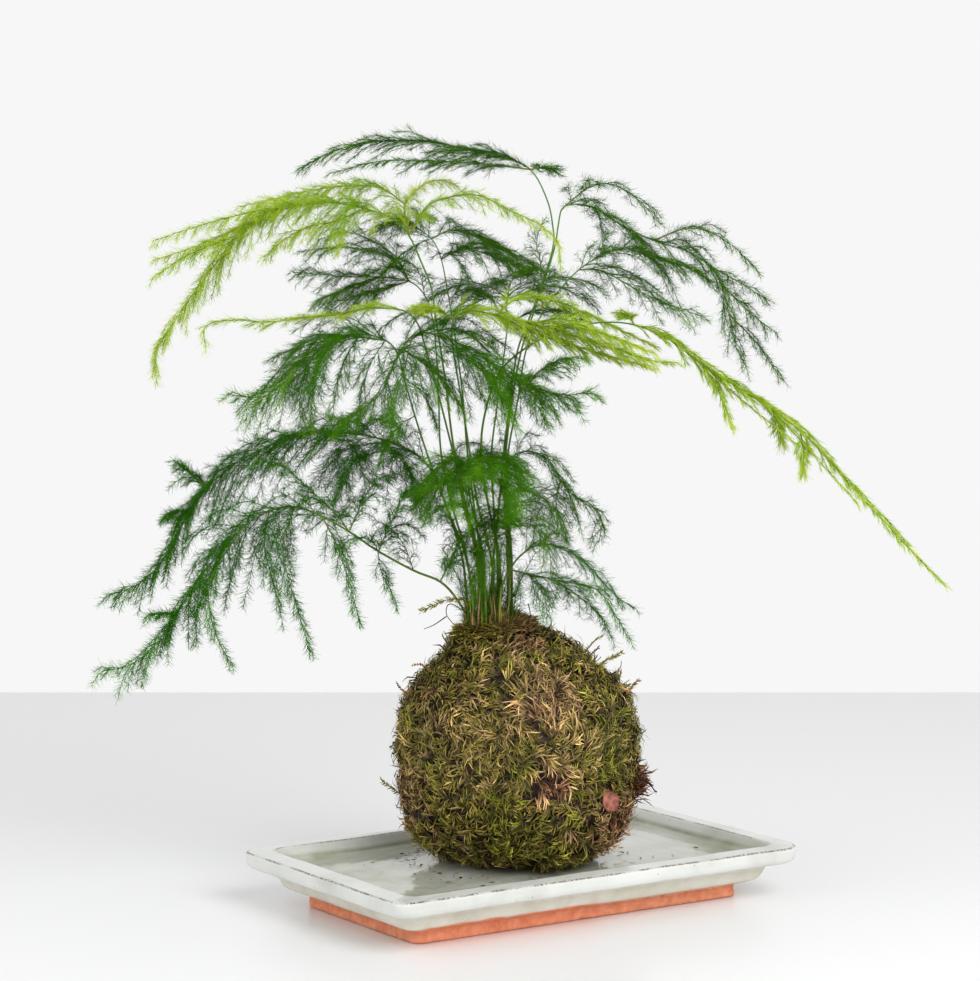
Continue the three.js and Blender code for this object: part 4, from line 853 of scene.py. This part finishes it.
def make_soil(material):
    """The dark soil among the stems, a ball with a round neck up to the crown."""
    ways, faces = round_grid(*SOIL_GRID)
    rng = np.random.default_rng(SOIL_SEED)
    spots = ways * SOIL_RADIUS + BALL_CENTRE
    top = (ways[:, 2] > 0.5) & (from_crown(spots) < CROWN_RADIUS - 0.6)
    spots[:, 2] = np.where(top, CROWN_TOP - 0.6 + rng.normal(0, 0.5, len(spots)), spots[:, 2])
    piece = triangle_object("soil_rough", to_row(spots), faces, material, True)
    give_values(piece, tint=rng.uniform(0, 0.15, len(ways)), shade=rng.uniform(0.5, 1.1, len(ways)))
    dress(piece, "soil", "soil_ball")


def patch_tint(spots, rng):
    """The moss's tint at each point: olive, drawn towards each patch that covers it."""
    tint = rng.normal(0.56, 0.1, len(spots))
    for middle, radius, aim, strength in PATCHES:
        off = np.linalg.norm(spots - np.array(middle), axis=1) / radius
        near = strength * np.clip(1.3 - off * off, 0, 1)
        tint += (aim + rng.normal(0, 0.06, len(spots)) - tint) * near
    return np.clip(tint, 0.03, 1)


def blades(roots, headings, ups, long, wide, rise, bend, rng):
    """Points of narrow pointed blades: each leaves its root along its heading, lifted by its rise, and
    bends back down by its bend."""
    count = len(roots)
    long, wide, rise, bend = (np.broadcast_to(v, count)[:, None] for v in (long, wide, rise, bend))
    across = unit(np.cross(ups, headings))
    sway = rng.normal(0, 0.35, count)[:, None]
    first = headings * np.cos(rise) + ups * np.sin(rise)
    second = unit(headings * np.cos(rise - bend) + ups * np.sin(rise - bend) + across * sway)
    middles = roots + first * 0.55 * long
    tips = middles + second * 0.45 * long
    flank = unit(across + ups * rng.normal(0, 0.5, count)[:, None])
    foot, half = flank * wide * 0.35, flank * wide * 0.5
    return np.stack([roots - foot, roots + foot, middles - half, middles + half, tips], axis=1)


def blade_object(name, points, tints, bright, material, *nodes):
    """Makes an object of moss blades, with painted shade at their roots and a painted highlight at their
    tips.
    """
    points[..., 2] = np.maximum(points[..., 2], TRAY_FLOOR + BLADE_CLEARANCE)
    corners = len(BLADE_SHADE)
    triangles = (corners * np.arange(len(points)))[:, None, None] + BLADE_FACES[None]
    piece = triangle_object(name, to_row(points.reshape(-1, 3)), triangles.reshape(-1, 3), material)
    give_values(piece, tint=np.repeat(tints, corners), shade=(bright[:, None] * BLADE_SHADE[None]).ravel())
    dress(piece, "moss", *nodes)


def make_moss_layer(name, material, tufts, seed, lift, lengths, bright, tint_shift, crowd):
    """One layer of moss tufts, tangled on the ball and leaning every way."""
    rng = np.random.default_rng(seed)
    ways = even_ways(tufts, rng)
    spots = ball_surface(ways)
    keep = (ways[:, 2] < 0) | (from_crown(spots) > CROWN_RADIUS - 6)
    ways, spots = ways[keep], spots[keep]
    tufts = len(ways)
    tint = patch_tint(spots, rng) + tint_shift
    # Each tuft's brightness varies at random about its layer's, whose low value for the under layer is
    # painted shade
    glow = bright * np.exp(rng.normal(0, 0.34, tufts))
    size = rng.uniform(0.7, 1.3, tufts)
    stream = np.sin(ways @ STREAM_WAVES.T) + rng.normal(0, 0.75, (tufts, 3))
    which = np.repeat(np.arange(tufts), crowd)
    heading = unit(np.cross(ways, unit(stream)))[which]
    count = len(which)
    ups = ways[which]
    swing = rng.normal(0, 0.5, count)[:, None]
    aside = np.cross(ups, heading)
    headings = heading * np.cos(swing) + aside * np.sin(swing)
    slip = headings * rng.uniform(-1.5, 1, count)[:, None] + aside * rng.normal(0, 1.1, count)[:, None]
    roots = spots[which] + slip - ups * ROOT_DEPTH
    long = rng.uniform(*lengths, count) * size[which]
    rise = np.clip(rng.normal(lift, 0.25, count), 0.02, 1.3)
    wide = rng.uniform(0.35, 0.9, count)
    points = blades(roots, headings, ups, long, wide, rise, rng.uniform(0.2, 1.1, count), rng)
    tints = np.clip(tint[which] + rng.normal(0, 0.06, count), 0, 1)
    blade_object(name, points, tints, glow[which] * np.exp(rng.normal(0, 0.2, count)), material, "moss_wrap")


def make_crown_moss(material):
    """Moss that climbs to the stems: lying on the slope, then upright and longer among them."""
    rng = np.random.default_rng(CROWN_SEED)
    count = CROWN_BLADES
    angle = rng.uniform(0, 2 * np.pi, count)
    off = (CROWN_RADIUS + 8) * np.sqrt(rng.uniform(0, 1, count))
    outward = np.stack([np.cos(angle), np.sin(angle), np.zeros(count)], axis=1)
    ways = unit(outward * off[:, None] + [CROWN_X, 0, CROWN_TOP] - BALL_CENTRE)
    roots = ball_surface(ways, 1.2)
    upright = np.clip((CROWN_RADIUS + 3 - off) / 9, 0, 1)
    aside = np.cross(UP, outward)
    headings = outward * rng.normal(0.4, 0.8, count)[:, None] + aside * rng.normal(0, 0.9, count)[:, None]
    headings = unit(headings)
    ups = unit(ways + UP * upright[:, None])
    headings = unit(headings - ups * np.sum(headings * ups, axis=1)[:, None])
    long = rng.uniform(4.5, 9, count) + upright * rng.uniform(0, 8, count)
    rise = 0.25 + 0.7 * upright + rng.uniform(0, 0.5, count)
    wide = rng.uniform(0.5, 1.0, count)
    points = blades(roots, headings, ups, long, wide, rise, rng.uniform(0, 0.6, count), rng)
    tints = np.clip(patch_tint(roots, rng) + rng.normal(0.02, 0.12, count), 0.05, 1)
    blade_object("crown_moss", points, tints, np.exp(rng.normal(-0.1, 0.35, count)), material)


def make_sheaths(material):
    """Dry papery sheaths and cut stubs round the feet of the stems."""
    rng = np.random.default_rng(SHEATH_SEED)
    heap = Heap()
    shades = []
    feet = [crown_spot(*frond["spot"]) for frond in FRONDS for _ in range(3)]
    feet += [(CROWN_X + rng.normal(0, 6), rng.normal(0, 6)) for _ in range(STUBS)]
    for x, y in feet:
        turn = rng.uniform(0, 2 * np.pi)
        out = np.array([math.cos(turn), math.sin(turn), 0])
        foot = np.array([x, y, CROWN_TOP - 2]) + out * rng.uniform(1.0, 1.7)
        tall = rng.uniform(*SHEATH_HEIGHTS)
        lean = out * rng.uniform(0, 0.16) * tall
        line = np.array([foot, foot + lean * 0.3 + UP * tall * 0.5, foot + lean + UP * tall])
        wide = rng.uniform(*SHEATH_THICK)
        before = heap.count
        rod(heap, line, [wide, wide * 0.85, wide * 0.25], 5, rng.choice(SHEATH_TINTS))
        shades.append(np.repeat(rng.uniform(0.6, 1.1), heap.count - before))
    piece = heap.to_object("dry_sheaths", material, True)
    give_values(piece, shade=np.concatenate(shades))
    dress(piece, "moss")


def make_sprigs(material):
    """Sprigs with two rows of leaves, and dark tendrils, which stand out of the ball."""
    rng = np.random.default_rng(SPRIG_SEED)
    heap = Heap()
    rows = []
    for path, tint, leaf in SPRIGS:
        line = smooth_line(path, 1.2)
        rod(heap, line, np.linspace(0.4, 0.15, len(line)), 5, tint * 0.6)
        ways = unit(np.gradient(line, axis=0))
        across = unit(np.cross(ways, UP))
        for side in (-1, 1):
            heading = unit(ways * 0.8 + across * side * 0.5 + UP * side * 0.55)
            rows.append((line, heading, np.full(len(line), leaf), np.full(len(line), tint)))
    for path in TENDRILS:
        line = smooth_line(path, 1.2)
        rod(heap, line, np.linspace(0.32, 0.16, len(line)), 5, 0.02)
    stalks = heap.to_object("sprig_stalks", material, True)
    give_values(stalks, shade=np.full(heap.count, 0.8))
    dress(stalks, "moss")
    roots, headings, sizes, tints = (np.concatenate(column) for column in zip(*rows))
    count = len(roots)
    ups = unit(np.cross(headings, unit(rng.normal(0, 1, (count, 3)))))
    points = blades(roots, headings, ups, sizes * rng.uniform(0.8, 1.2, count), 0.8, 0.1, 0.4, rng)
    tints = np.clip(tints + rng.normal(0, 0.05, count), 0, 1)
    blade_object("sprig_leaves", points, tints, rng.uniform(0.8, 1.3, count), material)


def make_clump(material):
    """The ragged brown clump that stands out of the ball's right side."""
    rng = np.random.default_rng(CLUMP_SEED)
    count = CLUMP_BLADES
    roots = np.array(CLUMP_SPOT) + rng.normal(0, 1, (count, 3)) * [2.0, 3.8, 3.9]
    headings = unit(np.array([1, -0.2, 0.05]) + rng.normal(0, 0.42, (count, 3)))
    ups = unit(np.cross(headings, unit(rng.normal(0, 1, (count, 3)))))
    long = rng.uniform(4, 11, count)
    rise = rng.uniform(0, 0.4, count)
    wide = rng.uniform(0.5, 1.1, count)
    points = blades(roots, headings, ups, long, wide, rise, rng.uniform(0.2, 1.4, count), rng)
    tints = np.clip(rng.normal(0.17, 0.06, count), 0.03, 0.4)
    blade_object("brown_clump", points, tints, np.exp(rng.normal(-0.15, 0.35, count)), material)


def make_leaf(material):
    """A small dry leaf, cupped and pointed, lying on the moss."""
    out = unit(np.array(LEAF_SPOT) - BALL_CENTRE)
    centre = ball_surface(out[None])[0] + out * 4
    way = unit(out + [0.1, -0.9, 0.3])
    along = unit(np.cross(way, [1, 0, 0.55]))
    across = np.cross(way, along)
    rows, columns = LEAF_GRID
    top = []
    for s in np.linspace(-1, 1, rows):
        half = LEAF_WIDTH * (1 - s * s) ** 1.15 * (1.05 - 0.25 * s)
        for t in np.linspace(-1, 1, columns):
            lift = 0.9 * t * t - 0.5 * s * s + 0.25 * abs(t) - 0.5
            top.append(centre + along * LEAF_LENGTH * s + across * half * t + way * lift)
    points = np.vstack([top, np.array(top) - way * LEAF_THICK])
    under = len(top)
    grid = np.arange(under).reshape(rows, columns)
    a, b, c, d = (corner.ravel() for corner in (grid[:-1, :-1], grid[:-1, 1:], grid[1:, 1:], grid[1:, :-1]))
    face = np.concatenate([np.stack([a, b, c], axis=1), np.stack([a, c, d], axis=1)])
    rim = np.concatenate([grid[:, 0], grid[-1, 1:], grid[-2::-1, -1], grid[0, -2:0:-1]])
    after = np.roll(rim, -1)
    edge = [[rim, under + after, after], [rim, under + rim, under + after]]
    edge = [np.stack(corners, axis=1) for corners in edge]
    faces = np.vstack([face, under + face[:, ::-1], *edge])
    dress(triangle_object("fallen_leaf", to_row(points), faces, material, True), "moss")


def make_crumbs(material):
    """Crumbs of moss and soil on the tray's floor round the ball."""
    rng = np.random.default_rng(CRUMB_SEED)
    angle = rng.uniform(0, 2 * np.pi, CRUMBS)
    off = 50 + rng.exponential(9, CRUMBS)
    x = BALL_CENTRE[0] + off * np.cos(angle)
    y = off * np.sin(angle) * 0.9
    row = to_row(np.stack([x, y, np.zeros(CRUMBS)], axis=1)) / MM
    inside = (np.abs(row[:, :2]) < CRUMB_SPAN).all(axis=1)
    x, y = x[inside], y[inside]
    count = len(x)
    roots = np.stack([x, y, np.full(count, TRAY_FLOOR + 0.5)], axis=1)
    turn = rng.uniform(0, 2 * np.pi, count)
    headings = np.stack([np.cos(turn), np.sin(turn), np.zeros(count)], axis=1)
    long = rng.uniform(0.8, 3.6, count)
    wide = np.minimum(long * 0.5, rng.uniform(0.4, 1.1, count))
    points = blades(roots, headings, np.tile(UP, (count, 1)), long, wide, 0.08, 0.05, rng)
    tints = rng.uniform(0.02, 0.8, count)
    blade_object("tray_crumbs", points, tints, rng.uniform(0.5, 1.0, count), material)


# The tray
def tray_rings():
    """Inset at the ends and at the sides, corner radius, height and wear of each ring, from the foot up
    over the rim and down to the middle of the dish."""
    ends, sides = LIP_AT_ENDS, LIP_AT_SIDES
    rings = [(inset, inset, corner, z, 0) for inset, corner, z in TRAY_SECTION]
    rings += [(inset, inset, corner, z, wear) for inset, corner, z, wear in RIM_SECTION]
    rings += [(ends * 0.5, sides * 0.5, 11.5, LIP_MIDDLE, 0)]
    rings += [(ends + inset, sides + inset, corner, z, wear) for inset, corner, z, wear in DISH_SECTION]
    rings += [(ends + DISH_MIDDLE[0], sides + DISH_MIDDLE[1], 3, TRAY_FLOOR, 0)]
    return smooth_line(rings, RING_STEP)


def tray_outline(ends, sides, corner):
    """Points of a rounded rectangle, the same number whatever its size."""
    half_length = TRAY_LENGTH / 2 - ends
    half_width = TRAY_WIDTH / 2 - sides
    turn = np.linspace(0, np.pi / 2, CORNER_STEPS)
    quarters = []
    for k, most in enumerate(CORNER_MOST):
        radius = min(corner, most)
        along = 1 if k in (0, 3) else -1
        across = 1 if k in (0, 1) else -1
        middle = [along * (half_length - radius), across * (half_width - radius)]
        angles = turn + k * np.pi / 2
        quarters.append(middle + radius * np.stack([np.cos(angles), np.sin(angles)], axis=1))
    points = []
    for k, (quarter, steps) in enumerate(zip(quarters, SIDE_STEPS)):
        after = quarters[(k + 1) % 4][0]
        share = (np.arange(1, steps) / steps)[:, None]
        points += [quarter, quarter[-1] * (1 - share) + after * share]
    return np.vstack(points)


def waves(x, y, scale, seed):
    """A soft seeded wave pattern between about -1 and 1."""
    rng = np.random.default_rng(seed)
    total = np.zeros_like(x)
    for _ in range(5):
        angle = rng.uniform(0, 2 * np.pi)
        pace = 2 * np.pi / (scale * rng.uniform(0.6, 1.6))
        total += np.sin((x * math.cos(angle) + y * math.sin(angle)) * pace + rng.uniform(0, 2 * np.pi))
    return total / 3


def step_up(values, low, span):
    """Goes from 0 to 1 as the values go from low over the span."""
    return np.clip((values - low) / span, 0, 1)


def glaze_edge(x, y):
    """Height of the glaze's lower edge round the tray: wavy, and higher along a bare stretch in front."""
    edge = GLAZE_EDGE + 0.55 * waves(x, y, 34, 11) + 0.35 * waves(x, y, 9, 12)
    bare = step_up(-y, 40, 4) * step_up(-x, -12, 10) * step_up(x, -101, 6)
    return edge + bare * (BARE_RISE + 0.8 * waves(x, y, 22, 13))


def make_tray(material):
    """The tray: a little uneven as hand-made clay is, chipped at its foot, and thicker where it is glazed."""
    rings = tray_rings()
    outlines = [tray_outline(*ring[:3]) for ring in rings]
    around = len(outlines[0])
    flat = np.vstack(outlines)
    x, y = flat.T
    z = np.repeat(rings[:, 3], around)
    uneven = SIDE_PLAY * step_up(z, 0, 3)
    dx, dy = (uneven * waves(x, y, 60, seed) for seed in (21, 22))
    dz = step_up(z, 6, 8) * (RISE_PLAY * waves(x, y, 45, 23) + 0.06 * waves(x, y, 7, 24))
    chips = CHIP_DEPTH * step_up(-z, -1.2, 1.2) * step_up(waves(x, y, 5, 26), 0.35, 1)
    above = z - glaze_edge(x, y)
    thick = GLAZE_THICK * step_up(above, 0, 0.5) * step_up(-z, -20, 4)
    outward = flat / np.hypot(x, y)[:, None]
    points = np.column_stack([flat + outward * (thick - chips)[:, None], z]) + np.column_stack([dx, dy, dz])
    under, over = len(points), len(points) + 1
    points = np.vstack([points, [[0, 0, 0], [0, 0, TRAY_FLOOR]]])
    foot = fan_faces(under, np.arange(around)[::-1])
    dish = fan_faces(over, under - around + np.arange(around))
    faces = np.vstack([band_faces(len(rings), around), foot, dish])
    piece = triangle_object("tray_glazed", points * MM, faces, material, True)
    inner = (np.abs(x) < TRAY_LENGTH / 2 - LIP_AT_ENDS) & (np.abs(y) < TRAY_WIDTH / 2 - LIP_AT_SIDES)
    # Grey-green on the dish: glaze gathered at the seam, and painted shade of the plant over the rest of the
    # dish floor
    seam = np.clip(1 - np.abs(z - SEAM_HEIGHT) / SEAM_REACH, 0, 1)
    pool = np.where(inner & (z > 19), 0.4 + 0.5 * seam + 0.16 * waves(x, y, 120, 27), 0)
    cove = step_up(-z, -18.3, 1.5) * step_up(z, 5, 2)
    give_values(piece, glaze=np.append(above, [-6, 10]), pool=np.append(pool, [0, 0.3]))
    wear = np.repeat(rings[:, 4], around)
    give_values(piece, ridge=np.append(wear, [0, 0]), cove=np.append(cove, [0, 0]))
    dress(piece, "tray_glaze", "tray")


# Materials
def linear(red, green, blue):
    """Turns a colour as seen on a screen, 0 to 255, to the shader's scale."""
    shares = [value / 255 for value in (red, green, blue)]
    dark = 10 / 255
    return (*(((s + 0.055) / 1.055) ** 2.4 if s > dark else s / 12.92 for s in shares), 1)


class Graph:
    """The nodes of a material or of the world. Each method adds a node and gives the socket it ends in."""

    def __init__(self, tree, shader):
        self.tree = tree
        self.shader = tree.nodes[shader]
        self.place = tree.nodes.new("ShaderNodeTexCoord")

    def feed(self, node, inputs):
        """Links the inputs that are given as sockets, and sets the others on the node itself."""
        for name, value in inputs.items():
            if isinstance(value, bpy.types.NodeSocket):
                self.tree.links.new(value, node.inputs[name])
            else:
                node.inputs[name].default_value = value

    def add(self, kind, output, inputs, **settings):
        node = self.tree.nodes.new("ShaderNode" + kind)
        for name, value in settings.items():
            setattr(node, name, value)
        self.feed(node, inputs)
        return node.outputs[output]

    def attribute(self, name):
        return self.add("Attribute", "Fac", {}, attribute_name=name)

    def noise(self, size, detail=3):
        inputs = {"Vector": self.place.outputs["Object"], "Scale": 1 / size, "Detail": detail}
        return self.add("TexNoise", "Fac", inputs)

    def between(self, value, low, high, to_low=0.0, to_high=1.0):
        """Goes from one value to another as the given one goes from low to high."""
        inputs = {"Value": value, "From Min": low, "From Max": high, "To Min": to_low, "To Max": to_high}
        return self.add("MapRange", "Result", inputs)

    def math(self, operation, *values):
        return self.add("Math", "Value", dict(enumerate(values)), operation=operation)

    def mix(self, factor, first, second):
        return self.add("Mix", "Result", {"Factor": factor, "A": first, "B": second}, data_type="RGBA")

    def bump(self, height, strength, depth, **under):
        inputs = {"Height": height, "Strength": strength, "Distance": depth, **under}
        return self.add("Bump", "Normal", inputs)

    def ramp(self, stops, factor):
        colour = self.add("ValToRGB", "Color", {"Fac": factor})
        band = colour.node.color_ramp
        while len(band.elements) < len(stops):
            band.elements.new(0.5)
        for element, (place, tone) in zip(band.elements, stops):
            element.position = place
            element.color = linear(*tone)
        return colour

    def dots(self, size, radius, kept):
        """Round dots: a cell's size, the dots' radius as a share of it, and the share of cells with a dot."""
        vector = self.place.outputs["Object"]
        distance = self.add("TexVoronoi", "Distance", {"Vector": vector, "Scale": 1 / size})
        near = self.between(distance, radius, radius * 0.6)
        chosen = self.between(distance.node.outputs["Color"], kept, kept - 0.02)
        return self.math("MULTIPLY", near, chosen)


def new_material(name, roughness, grain_size=0.001, grain_depth=0):
    """A material whose colour is left to be set, with a fine bump where it has a depth."""
    material = bpy.data.materials.new(name)
    material.use_nodes = True
    graph = Graph(material.node_tree, "Principled BSDF")
    graph.feed(graph.shader, {"Roughness": roughness})
    if grain_depth > 0:
        graph.feed(graph.shader, {"Normal": graph.bump(graph.noise(grain_size), 0.6, grain_depth)})
    return material, graph


def tinted_material(name, stops, roughness, shine, low=0.0, blotch=0.03, shaded=False):
    """A material whose colour follows each form's tint, with soft blotches, dimmed by its shade if shaded."""
    material, graph = new_material(name, roughness, grain_size=0.0012, grain_depth=0.0002)
    tint = graph.between(graph.attribute("tint"), low, 1.0)
    cloud = graph.math("MULTIPLY_ADD", graph.noise(0.012, 4), blotch * 2, tint)
    colour = graph.ramp(stops, graph.math("SUBTRACT", cloud, blotch))
    if shaded:
        inputs = {0: colour, "Scale": graph.attribute("shade")}
        colour = graph.add("VectorMath", "Vector", inputs, operation="SCALE")
    graph.feed(graph.shader, {"Specular IOR Level": shine, "Base Color": colour})
    return material


def leaf_material():
    material, graph = new_material("dry_leaf", LEAF_ROUGH, grain_depth=0.0003)
    graph.feed(graph.shader, {"Base Color": graph.ramp(LEAF_STOPS, graph.noise(0.003, 4))})
    return material


def tray_material():
    """Off-white glaze over orange clay: cream in the cove, grey-green in the dish where it pools and as
    painted shade of the plant over it, worn through along the rim's edges, pitted, and slightly rippled. The
    bare clay is rough and grainy."""
    material, graph = new_material("tray_glaze", 0.2)
    tones = {}
    for name, (size, detail, stops) in TRAY_TONES.items():
        tones[name] = graph.ramp(stops, graph.noise(size, detail))
    covered = graph.between(graph.attribute("glaze"), -0.12, 0.12)
    # The grey-green is partly pooled glaze and partly painted shade of the plant over the dish
    pool = graph.between(graph.attribute("pool"), 0.35, 0.75)
    glaze = graph.mix(graph.attribute("cove"), tones["glaze"], tones["cream"])
    glaze = graph.mix(pool, glaze, tones["celadon_and_plant_shade"])
    broken = graph.between(graph.noise(0.0009, 2), 0.38, 0.48)
    patches = graph.between(graph.noise(0.012, 2), 0.38, 0.5, 0.25, 1.0)
    edges = graph.between(graph.attribute("ridge"), 0.55, 0.85, 0.0, 0.85)
    worn = graph.math("MULTIPLY", graph.math("MULTIPLY", broken, patches), edges)
    glaze = graph.mix(worn, glaze, tones["worn"])
    colour = graph.mix(covered, tones["clay"], glaze)
    colour = graph.mix(graph.dots(size=0.005, radius=0.07, kept=0.3), colour, tones["pit"])
    roughness = graph.between(covered, 0, 1, CLAY_ROUGH, GLAZE_ROUGH)
    ripple = graph.bump(graph.noise(0.012), strength=0.13, depth=0.0008)
    graininess = graph.between(covered, 0, 1, 0.9, 0.0)
    normal = graph.bump(graph.noise(0.0012, 6), graininess, depth=0.0006, Normal=ripple)
    graph.feed(graph.shader, {"Base Color": colour, "Roughness": roughness, "Normal": normal})
    return material


# The floor, the light and the camera
def make_floor():
    bpy.ops.mesh.primitive_plane_add(size=1)
    floor = bpy.context.object
    floor.name = "floor"
    floor.scale = (*FLOOR_SIZE, 1)
    floor.rotation_euler = (0, 0, PLANT_TURN)
    floor.location = to_row([[0, FLOOR_EDGE - FLOOR_SIZE[1] / 2 / MM, -FLOOR_DROP]])[0]
    material, graph = new_material("floor_plain", FLOOR_ROUGH)
    graph.feed(graph.shader, {"Base Color": linear(*FLOOR_COLOUR)})
    floor.data.materials.append(material)


def area_light(name, place, aim, size, power):
    data = bpy.data.lights.new(name, "AREA")
    data.size = size
    data.energy = power
    light = bpy.data.objects.new(name, data)
    start, end = to_row([place, aim])
    light.location = start
    light.rotation_euler = Vector(end - start).to_track_quat("-Z", "Y").to_euler()
    bpy.context.scene.collection.objects.link(light)


def make_light():
    """Even light from all round, dimmer from above, and two soft lamps."""
    world = bpy.data.worlds.new("studio")
    bpy.context.scene.world = world
    world.use_nodes = True
    graph = Graph(world.node_tree, "Background")
    height = graph.add("SeparateXYZ", "Z", {"Vector": graph.place.outputs["Generated"]})
    strength = graph.between(height, 0.2, 1, *SKY_STRENGTH)
    graph.feed(graph.shader, {"Color": (1, 1, 1, 1), "Strength": strength})
    for name, values in LAMPS.items():
        area_light(name, *values)


def make_camera():
    data = bpy.data.cameras.new("camera")
    data.lens = CAMERA_LENS
    camera = bpy.data.objects.new("camera", data)
    camera.location = CAMERA_PLACE
    camera.rotation_euler = (math.pi / 2 - CAMERA_DOWN, 0, PLANT_TURN)
    bpy.context.scene.collection.objects.link(camera)
    bpy.context.scene.camera = camera


bpy.context.scene.view_settings.view_transform = "Standard"
make_camera()
make_light()
make_floor()
make_tray(tray_material())
moss = tinted_material("moss", MOSS_STOPS, roughness=0.6, shine=0.25, shaded=True)
make_moss_mat(moss)
for name, values in MOSS_LAYERS.items():
    make_moss_layer(name, moss, *values)
make_soil(tinted_material("soil", MOSS_STOPS, roughness=0.95, shine=0.1, shaded=True))
make_crown_moss(moss)
make_sheaths(moss)
make_sprigs(moss)
make_clump(moss)
make_leaf(leaf_material())
make_crumbs(moss)
make_fern()
